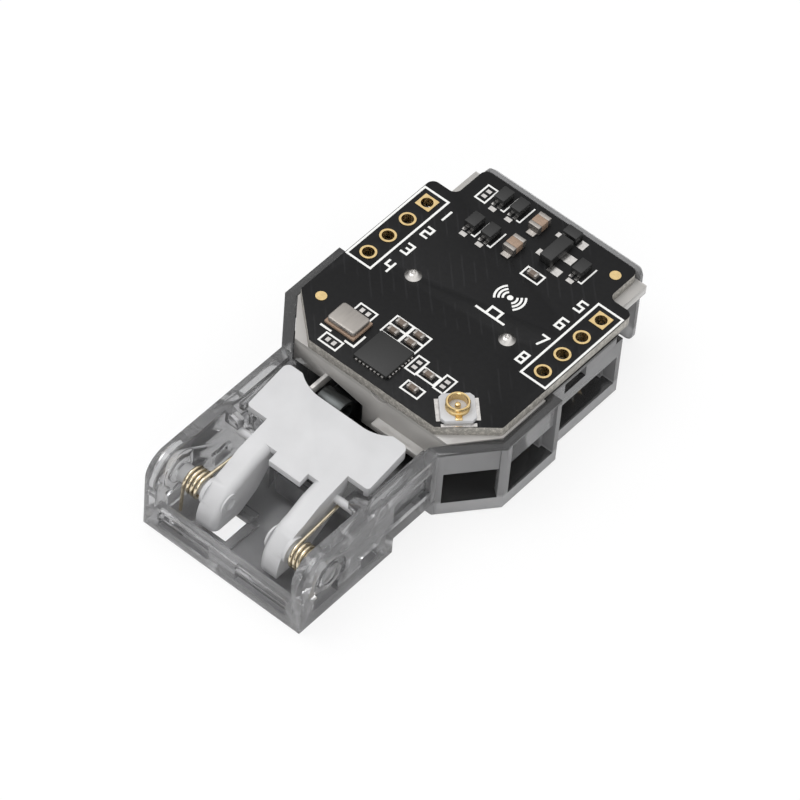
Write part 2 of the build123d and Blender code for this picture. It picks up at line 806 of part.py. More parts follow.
def tilted(shape):
    """Turns a piece of the rocker group from level to its rest position."""
    axle = Pos(0, rocker_y, pivot_height)
    return axle * Rot(-rocker_rest_tilt, 0, 0) * axle.inverse() * shape


def rocker():
    """Steel cradle with a rolled nose and tongue on its left and two hinge pins, built level."""
    half_w = rocker_half_width
    half_h = rocker_half_height
    low = pivot_height - half_h
    high = pivot_height + half_h
    cradle = block(-half_w, half_w, rocker_y - rocker_front, rocker_y + rocker_rear, low, high)
    inside_w = half_w - 2 * rocker_shell
    cradle -= block(-inside_w, inside_w, rocker_y - rocker_front + rocker_front_web,
                    rocker_y + rocker_rear + 1, low + rocker_shell, high - rocker_shell)
    nose_y = rocker_y - rocker_nose_reach
    nose_z = pivot_height + rocker_nose_rise
    nose_x = -rocker_nose_inner
    nose = crossbar(-half_w, nose_x, nose_y, nose_z, rocker_nose_radius)
    nose += block(-half_w, nose_x, nose_y, rocker_y - rocker_front + 0.2,
                  nose_z - rocker_arm_drop, nose_z + rocker_arm_rise)
    nose -= crossbar(nose_x - rocker_nose_bore_depth, nose_x + 1, nose_y, nose_z,
                     rocker_nose_radius - rocker_nose_wall)
    tongue_y = tongue_contact()[0]
    tongue_x = nose_x - 2 * claw_side_margin
    tongue_tip = tongue_y - claw_length / 2 + rocker_tongue_inset
    tongue_root = nose_y - rocker_nose_radius + rocker_nose_wall / 2
    nose += block(tongue_x - rocker_tongue_width, tongue_x, tongue_tip, tongue_root,
                  nose_z - rocker_tongue_thickness / 2, nose_z + rocker_tongue_thickness / 2)
    pin = crossbar(half_w - 0.3, half_w + rocker_pin_length, rocker_y, pivot_height, rocker_pin_radius)
    return tilted(cradle + nose + both(pin))


def pole_plate(direction):
    """Steel plate on one face of the magnet, above (1) or below (-1)."""
    half_w = rocker_half_width - 2 * rocker_shell - magnet_play
    face = pivot_height + direction * (rocker_half_height - rocker_shell)
    inner = face - direction * pole_plate_thickness
    front = rocker_y - rocker_front + rocker_front_web + magnet_play
    return tilted(block(-half_w, half_w, front, pole_plate_rear_y, min(face, inner), max(face, inner)))


def magnet():
    """Block magnet between the two pole plates."""
    half_w = rocker_half_width - 2 * rocker_shell - magnet_play
    half_h = rocker_half_height - rocker_shell - pole_plate_thickness
    front = rocker_y - rocker_front + rocker_front_web + magnet_play
    low = pivot_height - half_h
    return tilted(block(-half_w, half_w, front, front + magnet_length, low, low + 2 * half_h))


def core():
    """Soft iron E shape: middle leg through the coil, outer legs beside it."""
    low = pivot_height - core_thickness / 2
    high = pivot_height + core_thickness / 2
    rear = plate_front_y - core_back_gap
    outer = core_outer_inner + core_outer_width
    tip = rocker_y + core_tip_from_pivot
    shape = block(-core_leg_half_width, core_leg_half_width, tip, rear, low, high)
    shape += block(-outer, outer, rear - core_back_length, rear, low, high)
    shape += sided(core_outer_inner, outer, tip, rear, low, high)
    return shape


def bobbin_reach():
    """Rear face of the bobbin's rear flange."""
    return plate_front_y - core_back_gap - core_back_length - bobbin_rear_gap


def coil_bobbin():
    """Black former: tube on the core's middle leg, two flanges and two pin shoulders."""
    front = flange_y - bobbin_flange / 2
    rear = bobbin_reach()
    half = bobbin_flange_half_width
    low = base_plate_thickness + floor_gap
    high = deck_under - floor_gap
    tube_x = core_leg_half_width + bobbin_play + bobbin_wall
    tube_z = core_thickness / 2 + bobbin_play + bobbin_wall
    shape = block(-tube_x, tube_x, front, rear, pivot_height - tube_z, pivot_height + tube_z)
    shape += block(-half, half, front, front + bobbin_flange, low, high)
    shape += block(-half, half, rear - bobbin_flange, rear, low, high)
    ear = coil_pin_spacing / 2 + coil_pin_shoulder
    ear_low = pivot_height + core_thickness / 2 + coil_pin_shoulder_rise
    shape += block(-ear, ear, front, front + bobbin_flange, ear_low, high)
    shape -= block(-tube_x + bobbin_wall, tube_x - bobbin_wall, front - 1, rear + 1,
                   pivot_height - tube_z + bobbin_wall, pivot_height + tube_z - bobbin_wall)
    return shape


def coil_winding():
    """Copper winding between the flanges, with rounded corners."""
    front = flange_y + bobbin_flange / 2
    rear = bobbin_reach() - bobbin_flange
    tube_x = core_leg_half_width + bobbin_play + bobbin_wall
    tube_z = core_thickness / 2 + bobbin_play + bobbin_wall
    half_w = bobbin_flange_half_width - winding_margin
    half_h = (deck_under - base_plate_thickness) / 2 - floor_gap - winding_margin
    middle_z = (deck_under + base_plate_thickness) / 2
    shape = block(-half_w, half_w, front, rear, middle_z - half_h, middle_z + half_h)
    shape = fillet(shape.edges().filter_by(Axis.Y), half_h * 0.6)
    shape -= block(-tube_x, tube_x, front - 1, rear + 1, pivot_height - tube_z, pivot_height + tube_z)
    return shape


def coil_pins():
    """Two pins from the bobbin's shoulders up through the board."""
    x = coil_pin_spacing / 2
    return both(disc(x, flange_y, deck_under - floor_gap, board_top_height + solder_blob_height * 0.6,
                     coil_pin_radius))


def solder_joints():
    """Domed solder round the two coil pins."""
    x = coil_pin_spacing / 2
    radius = (solder_blob_radius ** 2 + solder_blob_height ** 2) / (2 * solder_blob_height)
    ball = Pos(x, flange_y, board_top_height + solder_blob_height - radius) * Sphere(radius)
    dome_top = board_top_height + 2 * solder_blob_height
    dome = ball & disc(x, flange_y, board_top_height, dome_top, solder_blob_radius)
    dome -= disc(x, flange_y, 0, board_top_height + solder_blob_height * 0.6, coil_pin_radius)
    return both(dome)


def header_places():
    """Centres of one row of header holes, back to front."""
    return [header_y + (1.5 - index) * header_pitch for index in range(4)]


def circuit_board():
    """Black board with two rows of holes and two pin holes."""
    half = board_width / 2
    tail = board_tail_width / 2
    tail_y = board_back_y - board_tail_length
    outline = mirrored_outline([
        (board_front_width / 2, board_front_y),
        (half, board_front_y + board_front_corner),
        (half, tail_y),
        (tail, tail_y),
        (tail, board_back_y),
    ])
    board = plan_prism(outline, board_under, board_top_height)
    tail_corners = board.edges().filter_by(Axis.Z).filter_by(lambda e: e.center().Y > tail_y - 0.1)
    board = fillet(tail_corners, board_corner_radius)
    barrel = header_hole_diameter / 2 + plating_thickness
    for hole_y in header_places():
        board -= both(disc(header_row_spacing / 2, hole_y, 0, board_top_height + 1, barrel))
    board -= both(disc(coil_pin_spacing / 2, flange_y, 0, board_top_height + 1, coil_pin_radius + 0.05))
    return board


def header_plating(side):
    """Plated barrels and pads of one row; the rearmost pad is square."""
    x = side * header_row_spacing / 2
    low = board_under
    high = board_top_height + plating_thickness
    barrel = header_hole_diameter / 2 + plating_thickness
    rows = None
    for index, hole_y in enumerate(header_places()):
        half = header_pad_diameter / 2
        if index == 0:
            pad = block(x - half, x + half, hole_y - half, hole_y + half, board_top_height, high)
        else:
            pad = disc(x, hole_y, board_top_height, high, half)
        ring = disc(x, hole_y, low, high, barrel) + pad
        ring -= disc(x, hole_y, low - 1, high + 1, header_hole_diameter / 2)
        rows = ring if rows is None else rows + ring
    return rows


def stroke(x0, y0, x1, y1, width=print_line):
    """Printed line between two points on the board, measured from the header rows' centre."""
    length = math.hypot(x1 - x0, y1 - y0) + width
    angle = math.degrees(math.atan2(y1 - y0, x1 - x0))
    middle = ((x0 + x1) / 2, header_y + (y0 + y1) / 2, board_top_height + print_thickness / 2)
    return Pos(*middle) * Rot(0, 0, angle) * Box(length, width, print_thickness)


def polyline(points, width=print_line):
    """Printed line through several points."""
    pieces = [stroke(*a, *b, width) for a, b in zip(points, points[1:])]
    shape = pieces[0]
    for piece in pieces[1:]:
        shape += piece
    return shape


def frame_mark(x0, x1, y0, y1, width=print_line):
    """Printed rectangle."""
    return polyline([(x0, y0), (x1, y0), (x1, y1), (x0, y1), (x0, y0)], width)


def arc_mark(x, y, radius, start, end, width=print_line):
    """Printed arc."""
    ring = Circle(radius + width / 2) - Circle(radius - width / 2)
    a = math.radians(start)
    b = math.radians(end)
    far = radius * 3
    first = (far * math.cos(a), far * math.sin(a))
    last = (far * math.cos(b), far * math.sin(b))
    wedge = Polygon((0, 0), first, last, align=None)
    flat = Plane((x, header_y + y, board_top_height)) * (ring & wedge)
    return extrude(flat, amount=print_thickness, dir=(0, 0, 1))


digit_height = 1.1
digit_width = 0.6
digit_paths = {
    1: [(0.5, 0), (0.5, 1)],
    2: [(0, 1), (1, 1), (1, 0.5), (0, 0.5), (0, 0), (1, 0)],
    3: [(0, 1), (1, 1), (1, 0.5), (0.3, 0.5), (1, 0.5), (1, 0), (0, 0)],
    4: [(0, 1), (0, 0.5), (1, 0.5), (1, 1), (1, 0)],
    5: [(1, 1), (0, 1), (0, 0.5), (1, 0.5), (1, 0), (0, 0)],
    6: [(1, 1), (0, 1), (0, 0), (1, 0), (1, 0.5), (0, 0.5)],
    7: [(0, 1), (1, 1), (0.4, 0)],
    8: [(0, 0.5), (0, 1), (1, 1), (1, 0), (0, 0), (0, 0.5), (1, 0.5)],
}


def digit(number, x, y):
    """Plain number beside a header hole."""
    points = [(x + (u - 0.5) * digit_width, y + (v - 0.5) * digit_height) for u, v in digit_paths[number]]
    return polyline(points)


chip_places = [
    (-2.25, -8.0, 0, True), (-0.35, -8.0, 0, True), (-2.25, -9.1, 0, True), (-0.35, -9.1, 0, True),
    (3.0, -10.7, 0, True), (2.95, -12.7, 0, True), (2.2, 3.7, 0, True),
    (-5.35, -9.05, 0, False), (-5.35, -13.4, 0, False), (1.5, -10.45, 90, False), (4.55, -10.45, 90, False),
    (-6.5, 8.05, 90, False),
]
small_package_places = [(-5.05, 8.6), (-3.3, 8.6), (-5.05, 4.75), (-3.3, 4.75), (4.85, 6.9)]
tall_capacitor_places = [(-0.9, 8.3), (-0.9, 4.95)]
crystal_place = (-5.55, -10.95)
controller_place = (-1.1, -11.65)
socket_place = (board_width / 2 - socket_margin, board_front_y - header_y + socket_from_front)
power_chip_place = (2.1, 6.9)
top_package_place = (1.9, 9.3)


def at_board(shape, x, y, angle=0):
    """Stands a piece, built on the ground at the origin, on the board."""
    return Pos(x, header_y + y, board_top_height) * Rot(0, 0, angle) * shape


def joined(shapes):
    """Several shapes as one."""
    shape = shapes[0]
    for other in shapes[1:]:
        shape += other
    return shape


def chip_outline(x, y, angle):
    """Printed outline round a small chip place."""
    half_x = chip_length * 0.9
    half_y = chip_width * 0.95
    if angle:
        half_x, half_y = half_y, half_x
    return frame_mark(x - half_x, x + half_x, y - half_y, y + half_y, print_line * 0.8)


def board_print():
    """White print: header frames, pin numbers, part outlines and two plain icons."""
    row_x = header_row_spacing / 2
    frame_y = 2 * header_pitch
    inner = row_x - header_pad_diameter / 2 - header_frame_gap
    outer = board_width / 2 - header_frame_margin
    pieces = [frame_mark(-outer, -inner, -frame_y, frame_y), frame_mark(inner, outer, -frame_y, frame_y)]
    for index in range(4):
        y = (1.5 - index) * header_pitch
        pieces.append(digit(index + 1, -inner + 0.9, y))
        pieces.append(digit(index + 5, inner - 0.9, y))
    pieces += [chip_outline(x, y, angle) for x, y, angle, fitted in chip_places]
    for x, y in small_package_places:
        side = x + small_package_width / 2 + 0.35
        end = y - small_package_length / 2 - 0.35
        pieces.append(polyline([(side, y + 0.9), (side, end), (side - 0.3, end)], print_line * 0.7))
    x, y = crystal_place
    side = x + crystal_size[0] / 2 + 0.35
    end = y - crystal_size[1] / 2 - 0.35
    pieces.append(polyline([(side, y - 0.2), (side, end), (side - 0.9, end)]))
    pieces.append(stroke(x - crystal_size[0] / 2, end, x - 0.6, end))
    icon_x = 2.4
    pieces += [arc_mark(icon_x, 0.5, radius, -42, 42) for radius in (0.62, 0.98, 1.34)]
    pieces += [arc_mark(icon_x, 0.5, radius, 138, 222) for radius in (0.62, 0.98, 1.34)]
    dot = disc(icon_x, header_y + 0.5, board_top_height, board_top_height + print_thickness, 0.27)
    pieces.append(dot)
    pieces.append(polyline([(0.95, -2.15), (3.85, -2.15)], 0.22))
    pieces.append(polyline([(1.95, -2.15), (1.95, -1.25), (3.05, -1.25), (3.05, -2.15)], 0.22))
    return joined(pieces)


def solder_pads():
    """Tinned pads of the small chip places."""
    half = chip_length / 2
    pad_side = chip_pad_half_width
    one = sided(half - chip_pad_length, half, -pad_side, pad_side, 0, pad_thickness)
    shapes = [at_board(one, x, y, angle) for x, y, angle, fitted in chip_places]
    side = socket_width / 2
    reach = side + socket_pad_reach
    half_pad = socket_pad_length / 2
    socket = sided(side, reach, -half_pad, half_pad, 0, 2 * pad_thickness)
    socket += block(-side, side, -reach, -side, 0, 2 * pad_thickness)
    return joined(shapes + [at_board(socket, *socket_place, 45)])


def chip_parts():
    """Small ceramic chips on their pads."""
    half = chip_length / 2
    low = pad_thickness
    one = block(-half, half, -chip_width / 2, chip_width / 2, low, low + chip_height)
    return joined([at_board(one, x, y, angle) for x, y, angle, fitted in chip_places if fitted])


def small_packages():
    """Black three-leg packages of the power section."""
    half_x = small_package_width / 2
    half_y = small_package_length / 2
    one = block(-half_x, half_x, -half_y, half_y, pad_thickness, small_package_height)
    wide_x, wide_y = top_package_size
    wide = block(-wide_x / 2, wide_x / 2, -wide_y / 2, wide_y / 2, pad_thickness, small_package_height)
    pieces = [at_board(one, x, y) for x, y in small_package_places]
    pieces.append(at_board(wide, *top_package_place))
    return joined(pieces)


def package_legs():
    """Tinned legs in front of each small package."""
    half_y = small_package_length / 2
    leg = sided(leg_inner, leg_outer, -half_y - leg_reach, -half_y + leg_overlap, 0, pad_thickness)
    leg += block(-front_leg_half_width, front_leg_half_width, -half_y - front_leg_end,
                 -half_y - front_leg_start, 0, pad_thickness)
    return joined([at_board(leg, x, y) for x, y in small_package_places])


def power_chip():
    """Larger black body of the power section."""
    one = block(-power_chip_width / 2, power_chip_width / 2, -power_chip_length / 2, power_chip_length / 2,
                pad_thickness, power_chip_height)
    return at_board(one, *power_chip_place)


def power_pads():
    """Tinned pads beside the larger body and the top package."""
    half = power_chip_width / 2
    inner = half - power_pad_overlap
    pads = block(-half - power_pad_short_reach, -inner, *power_pad_left, 0, pad_thickness)
    pads += block(inner, half + power_pad_reach, *power_pad_upper, 0, pad_thickness)
    pads += block(inner, half + power_pad_reach, *power_pad_lower, 0, pad_thickness)
    top = block(*top_pad_left, 0, pad_thickness) + block(*top_pad_right, 0, pad_thickness)
    return at_board(pads, *power_chip_place) + at_board(top, *top_package_place)


def capacitor_bodies():
    """Tall ceramic capacitors between their metal ends."""
    half = tall_capacitor_length / 2 - tall_capacitor_end
    one = block(-tall_capacitor_width / 2, tall_capacitor_width / 2, -half, half,
                pad_thickness, tall_capacitor_height)
    return joined([at_board(one, x, y) for x, y in tall_capacitor_places])


def capacitor_ends():
    """Metal ends of the tall capacitors, with solder in front."""
    half = tall_capacitor_length / 2
    half_w = tall_capacitor_width / 2
    end = block(-half_w, half_w, -half, -half + tall_capacitor_end, 0, tall_capacitor_height)
    end += block(-half_w, half_w, half - tall_capacitor_end, half, 0, tall_capacitor_height)
    solder_w = half_w * 0.7
    end += block(-solder_w, solder_w, -half - capacitor_solder_reach, -half, 0, pad_thickness * 3)
    return joined([at_board(end, x, y) for x, y in tall_capacitor_places])


def crystal_base():
    """Ceramic base of the crystal."""
    half_x = crystal_size[0] / 2
    half_y = crystal_size[1] / 2
    return at_board(block(-half_x, half_x, -half_y, half_y, 0, crystal_base_height), *crystal_place)


def crystal_can():
    """Metal lid of the crystal."""
    half_x = crystal_size[0] / 2 - crystal_can_margin
    half_y = crystal_size[1] / 2 - crystal_can_margin
    low = crystal_base_height
    lid = block(-half_x, half_x, -half_y, half_y, low, low + crystal_can_height)
    lid = fillet(lid.edges().filter_by(Axis.Z), crystal_can_corner)
    return at_board(lid, *crystal_place)


def controller_chip():
    """Flat square controller."""
    half = controller_size / 2
    return at_board(block(-half, half, -half, half, 0, controller_height), *controller_place)


def fiducial_pads():
    """Two round gold spots."""
    top = board_top_height + pad_thickness
    radius = fiducial_diameter / 2
    right_x = board_width / 2 - fiducial_right_margin
    left_x = fiducial_left_margin - board_width / 2
    right = disc(right_x, board_back_y - fiducial_right_from_back, board_top_height, top, radius)
    return right + disc(left_x, board_front_y + fiducial_left_from_front, board_top_height, top, radius)


def antenna_socket_base():
    """White base of the coaxial socket, turned forty-five degrees."""
    half = socket_width / 2
    base = block(-half, half, -half, half, 0, socket_base_height)
    return at_board(chamfer(base.edges().filter_by(Axis.Z), socket_corner), *socket_place, 45)


def antenna_socket_ring():
    """Gold collar of the coaxial socket."""
    ring = disc(0, 0, socket_base_height, socket_ring_height, socket_ring_radius)
    half_tab = socket_tab_width / 2
    tab_top = socket_base_height + socket_tab_height
    ring += block(-half_tab, half_tab, -socket_width / 2, 0, socket_base_height, tab_top)
    ring -= disc(0, 0, socket_base_height - 1, socket_ring_height + 1, socket_ring_bore)
    return at_board(ring, *socket_place, 45)


def antenna_socket_pin():
    """Gold centre pin of the coaxial socket."""
    return at_board(disc(0, 0, socket_base_height, socket_pin_height, socket_pin_radius), *socket_place)


right_spring = torsion_spring()

nodes = {
    "base_housing": base_housing(),
    "upper_housing": upper_housing(),
    "lever": lever(),
    "spring_right": right_spring,
    "spring_left": mirror(right_spring, about=Plane.YZ),
    "rocker": rocker(),
    "magnet": magnet(),
    "upper_pole_plate": pole_plate(1),
    "lower_pole_plate": pole_plate(-1),
    "core": core(),
    "coil_bobbin": coil_bobbin(),
    "coil_winding": coil_winding(),
    "coil_pins": coil_pins(),
    "circuit_board": circuit_board(),
    "solder_joints": solder_joints(),
    "header_plating_left": header_plating(-1),
    "header_plating_right": header_plating(1),
    "board_print": board_print(),
    "solder_pads": solder_pads(),
    "chip_parts": chip_parts(),
    "small_packages": small_packages(),
    "package_legs": package_legs(),
    "power_chip": power_chip(),
    "power_pads": power_pads(),
    "capacitor_bodies": capacitor_bodies(),
    "capacitor_ends": capacitor_ends(),
    "crystal_base": crystal_base(),
    "crystal_can": crystal_can(),
    "controller_chip": controller_chip(),
    "fiducial_pads": fiducial_pads(),
    "antenna_socket_base": antenna_socket_base(),
    "antenna_socket_ring": antenna_socket_ring(),
    "antenna_socket_pin": antenna_socket_pin(),
}

os.makedirs("parts", exist_ok=True)
for name, shape in nodes.items():
    export_step(shape, f"parts/{name}.step")
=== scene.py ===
import json
import math

import bmesh
import bpy
from bpy.props import FloatProperty, FloatVectorProperty, IntProperty, PointerProperty
from mathutils import Matrix, Vector


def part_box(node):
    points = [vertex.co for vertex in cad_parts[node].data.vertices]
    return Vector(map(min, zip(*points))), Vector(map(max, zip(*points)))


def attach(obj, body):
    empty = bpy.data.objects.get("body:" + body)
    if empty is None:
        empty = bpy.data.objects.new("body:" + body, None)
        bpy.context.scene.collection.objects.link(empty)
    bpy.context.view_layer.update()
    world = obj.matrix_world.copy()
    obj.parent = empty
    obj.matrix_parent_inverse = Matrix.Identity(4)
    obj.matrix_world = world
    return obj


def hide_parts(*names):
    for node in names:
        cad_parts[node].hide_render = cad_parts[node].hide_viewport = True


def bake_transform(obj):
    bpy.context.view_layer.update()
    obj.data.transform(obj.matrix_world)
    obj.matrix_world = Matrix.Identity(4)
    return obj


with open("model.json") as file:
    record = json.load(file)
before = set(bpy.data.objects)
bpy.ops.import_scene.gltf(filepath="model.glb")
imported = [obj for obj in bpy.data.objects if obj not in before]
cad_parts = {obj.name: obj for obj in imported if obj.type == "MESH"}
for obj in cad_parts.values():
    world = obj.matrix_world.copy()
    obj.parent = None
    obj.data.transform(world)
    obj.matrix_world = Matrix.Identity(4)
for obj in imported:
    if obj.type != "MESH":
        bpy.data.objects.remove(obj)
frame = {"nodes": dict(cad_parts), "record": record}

bl_info = {
    "name": "Wireless switch module",
    "version": (1, 0, 0),
    "blender": (4, 5, 0),
    "location": "View3D > Sidebar > Switch module",
    "description": "Dresses the frame of a self-powered wireless switch module and sets its stage",
    "category": "Object",
}

MM = 0.001
WELD = 1e-6                     # points closer than this are one
FLAT = math.radians(0.5)        # faces that meet at less than this are one
SHARP = math.radians(38)        # edges sharper than this are rounded
SMOOTH = 35                     # degrees; edges sharper than this keep their line in the shading
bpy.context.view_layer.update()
PIVOT = {joint["name"]: Vector(joint["pos_m"]) for joint in frame["record"]["behaviour"]["joints"]}


# Sizes and colours that a user would change

def length(name, description, default):
    """A length property, in metres, from a default in millimetres."""
    return FloatProperty(name=name, description=description, default=default * MM, precision=5,
                         unit="LENGTH", subtype="DISTANCE")


def colour(name, description, default):
    """A linear colour property."""
    return FloatVectorProperty(name=name, description=description, default=default, size=3,
                               min=0.0, max=1.0, subtype="COLOR")


class ModuleSizes(bpy.types.PropertyGroup):
    """Sizes of the dressed pieces."""
    moulding_edge: length("Moulding edge", "Rounding on the clear mouldings' edges", 0.09)
    lever_edge: length("Lever edge", "Rounding on the white lever's edges", 0.14)
    package_edge: length("Package edge", "Rounding on small packages and chips", 0.05)
    board_edge: length("Board edge", "Rounding on the circuit board's rim", 0.05)
    steel_edge: length("Steel edge", "Rounding on the rocker's edges", 0.12)
    lid_edge: length("Lid edge", "Rounding on the crystal's lid", 0.14)
    spring_wire: length("Spring wire", "Diameter of the spring wire", 0.32)
    spring_radius: length("Spring radius", "Radius of the coil at the wire's middle", 1.15)
    spring_pitch: length("Spring pitch", "Distance between two turns", 0.42)
    spring_turns: IntProperty(name="Spring turns", description="Full turns of each spring",
                              default=3, min=1)
    spring_inset: length("Spring inset", "Distance of the first turn from the middle plane", 5.06)
    peg_reach: length("Peg distance", "Distance of the lever's pegs behind the pivot", 5.35)
    peg_height: length("Leg height", "Height of the long leg's end above the pivot", 1.135)
    leg_overreach: length("Leg overreach", "Length of the long leg past the peg", 0.35)
    floor_drop: length("Short leg", "Length of the leg that stands on the floor", 3.27)
    winding_wire: length("Winding wire", "Diameter of the winding's wire", 0.2)
    winding_corner: length("Winding corner", "Radius of the turns' corners", 1.4)
    collar_radius: length("Collar radius", "Outer radius of the coaxial socket's collar", 1.05)
    tab_reach: length("Tab reach", "Reach of the collar's tab from the socket's middle", 1.5)
    tab_width: length("Tab width", "Width of the collar's tab", 0.6)
    tab_thickness: length("Tab thickness", "Thickness of the collar's tab", 0.12)
    lead_pitch: length("Lead pitch", "Distance between the controller's leads", 0.4)
    lead_count: IntProperty(name="Leads", description="Leads along one side", default=8, min=1)
    lead_width: length("Lead width", "Width and depth of a lead", 0.198)
    lead_height: length("Lead height", "Height of a lead", 0.2)
    lead_stand: length("Lead stand", "Distance of the leads' middle from the package's side", 0.02)


class ModuleColours(bpy.types.PropertyGroup):
    """Colours of the finishes."""
    clear: colour("Clear plastic", "Smoky clear lower moulding", (0.36, 0.36, 0.365))
    tray: colour("Tray plastic", "Paler upper moulding", (0.62, 0.60, 0.575))
    white: colour("White plastic", "Lever", (0.57, 0.57, 0.578))
    wire: colour("Spring wire", "Springs", (0.80, 0.70, 0.52))
    steel: colour("Dark steel", "Rocker", (0.08, 0.085, 0.085))
    iron: colour("Soft iron", "Core and pole plates", (0.2, 0.2, 0.2))
    copper: colour("Copper", "Winding", (0.62, 0.27, 0.12))
    tin: colour("Tin", "Tinned metal", (0.62, 0.60, 0.58))
    board: colour("Board", "Solder mask", (0.0065, 0.0065, 0.007))
    gold: colour("Gold", "Plated pads and socket", (0.74, 0.55, 0.27))
    ink: colour("Print", "White print on the board", (0.86, 0.86, 0.84))
    brown: colour("Brown ceramic", "Small chips", (0.15, 0.115, 0.09))
    rim: colour("Board rim", "Cut edge of the board", (0.42, 0.40, 0.365))
    tan: colour("Tan ceramic", "Capacitors and crystal base", (0.33, 0.23, 0.165))
    dull: colour("Dull metal", "Crystal's lid and the ends of chips and capacitors", (0.40, 0.375, 0.35))
    black: colour("Black plastic", "Packages", (0.0155, 0.0155, 0.0155))


# Shader building

WAVE = math.tau / 20            # distance between a wave texture's bands at scale 1
UPRIGHT = (0.3, 0.6)            # slopes at which a face stops counting as upright
LEVEL = (0.5, 0.8)              # slopes at which a face begins to count as level


class Finish:
    """A node material under construction, reading Object coordinates."""

    def __init__(self, name, values):
        self.material = bpy.data.materials.new(name)
        self.material.use_nodes = True
        self.nodes = self.material.node_tree.nodes
        self.links = self.material.node_tree.links
        self.shader = self.nodes["Principled BSDF"]
        for socket, value in values.items():
            self.shader.inputs[socket].default_value = value
        self.place = self.nodes.new("ShaderNodeTexCoord").outputs["Object"]

    def node(self, kind, inputs, **settings):
        """Adds a node, sets it and feeds its inputs."""
        made = self.nodes.new("ShaderNode" + kind)
        for key, value in settings.items():
            setattr(made, key, value)
        for socket, value in inputs.items():
            if isinstance(value, bpy.types.NodeSocket):
                self.links.new(value, made.inputs[socket])
            else:
                made.inputs[socket].default_value = value
        return made

    def noise(self, grain, detail=3.0, stretch=(1, 1, 1), rough=0.5):
        """Noise whose features are about grain millimetres across."""
        place = self.node("Mapping", {"Vector": self.place, "Scale": stretch}).outputs[0]
        values = {"Vector": place, "Scale": 1 / (grain * MM), "Detail": detail, "Roughness": rough}
        return self.node("TexNoise", values).outputs["Fac"]

    def bands(self, pitch, direction, warp=0.0):
        """Bands pitch millimetres apart, straight where warp is 0."""
        values = {"Vector": self.place, "Scale": WAVE / (pitch * MM), "Distortion": warp}
        return self.node("TexWave", values, bands_direction=direction).outputs["Fac"]

    def ramp(self, value, stops):
        """Colour ramp through (position, colour) stops."""
        made = self.node("ValToRGB", {"Fac": value})
        line = made.color_ramp.elements
        while len(line) < len(stops):
            line.new(0.5)
        for mark, (position, tone) in zip(line, stops):
            mark.position = position
            mark.color = (*tone, 1)
        return made.outputs["Color"]

    def mapped(self, value, low, high, to_low=0.0, to_high=1.0):
        """Maps a value from one range to another."""
        values = {"Value": value, "From Min": low, "From Max": high, "To Min": to_low, "To Max": to_high}
        return self.node("MapRange", values).outputs["Result"]

    def past(self, value, edge):
        """0 before an edge and 1 past it, the edge given as its two sides in millimetres."""
        return self.mapped(value, edge[0] * MM, edge[1] * MM)

    def before(self, value, edge):
        """1 before an edge and 0 past it."""
        return self.mapped(value, edge[0] * MM, edge[1] * MM, 1.0, 0.0)

    def slope(self):
        """0 on an upright face and 1 on a level one."""
        facing = self.node("SeparateXYZ", {0: self.node("NewGeometry", {}).outputs["Normal"]}).outputs[2]
        return self.node("Math", {0: facing}, operation="ABSOLUTE").outputs[0]

    def blend(self, factor, first, second):
        """Mixes two colours."""
        made = self.node("Mix", {0: factor}, data_type="RGBA")
        for socket, value in ((made.inputs[6], first), (made.inputs[7], second)):
            if isinstance(value, bpy.types.NodeSocket):
                self.links.new(value, socket)
            else:
                socket.default_value = (*value, 1)
        return made.outputs[2]

    def product(self, first, second):
        """Multiplies two values."""
        return self.node("Math", {0: first, 1: second}, operation="MULTIPLY").outputs[0]

    def bump(self, height, strength, depth):
        """Bump from a height, depth in millimetres."""
        values = {"Height": height, "Strength": strength, "Distance": depth * MM}
        self.feed("Normal", self.node("Bump", values).outputs[0])

    def feed(self, socket, value):
        """Links a value to the shader."""
        self.links.new(value, self.shader.inputs[socket])


def scaled(tone, factor):
    """A lighter or darker version of a colour."""
    return tuple(min(1.0, part * factor) for part in tone)


# Where the clear mouldings' painted light and shade change, and at the body's front also their clarity:
# front of the body, top of its foot, bottom of the band round the board, and front of the back plate,
# each as the two sides of a soft edge in millimetres
BODY_FRONT = (-5.4, -4.8)
FOOT_TOP = (1.5, 1.9)
BAND_BOTTOM = (7.6, 7.7)
PLATE_FRONT = (20.8, 20.9)


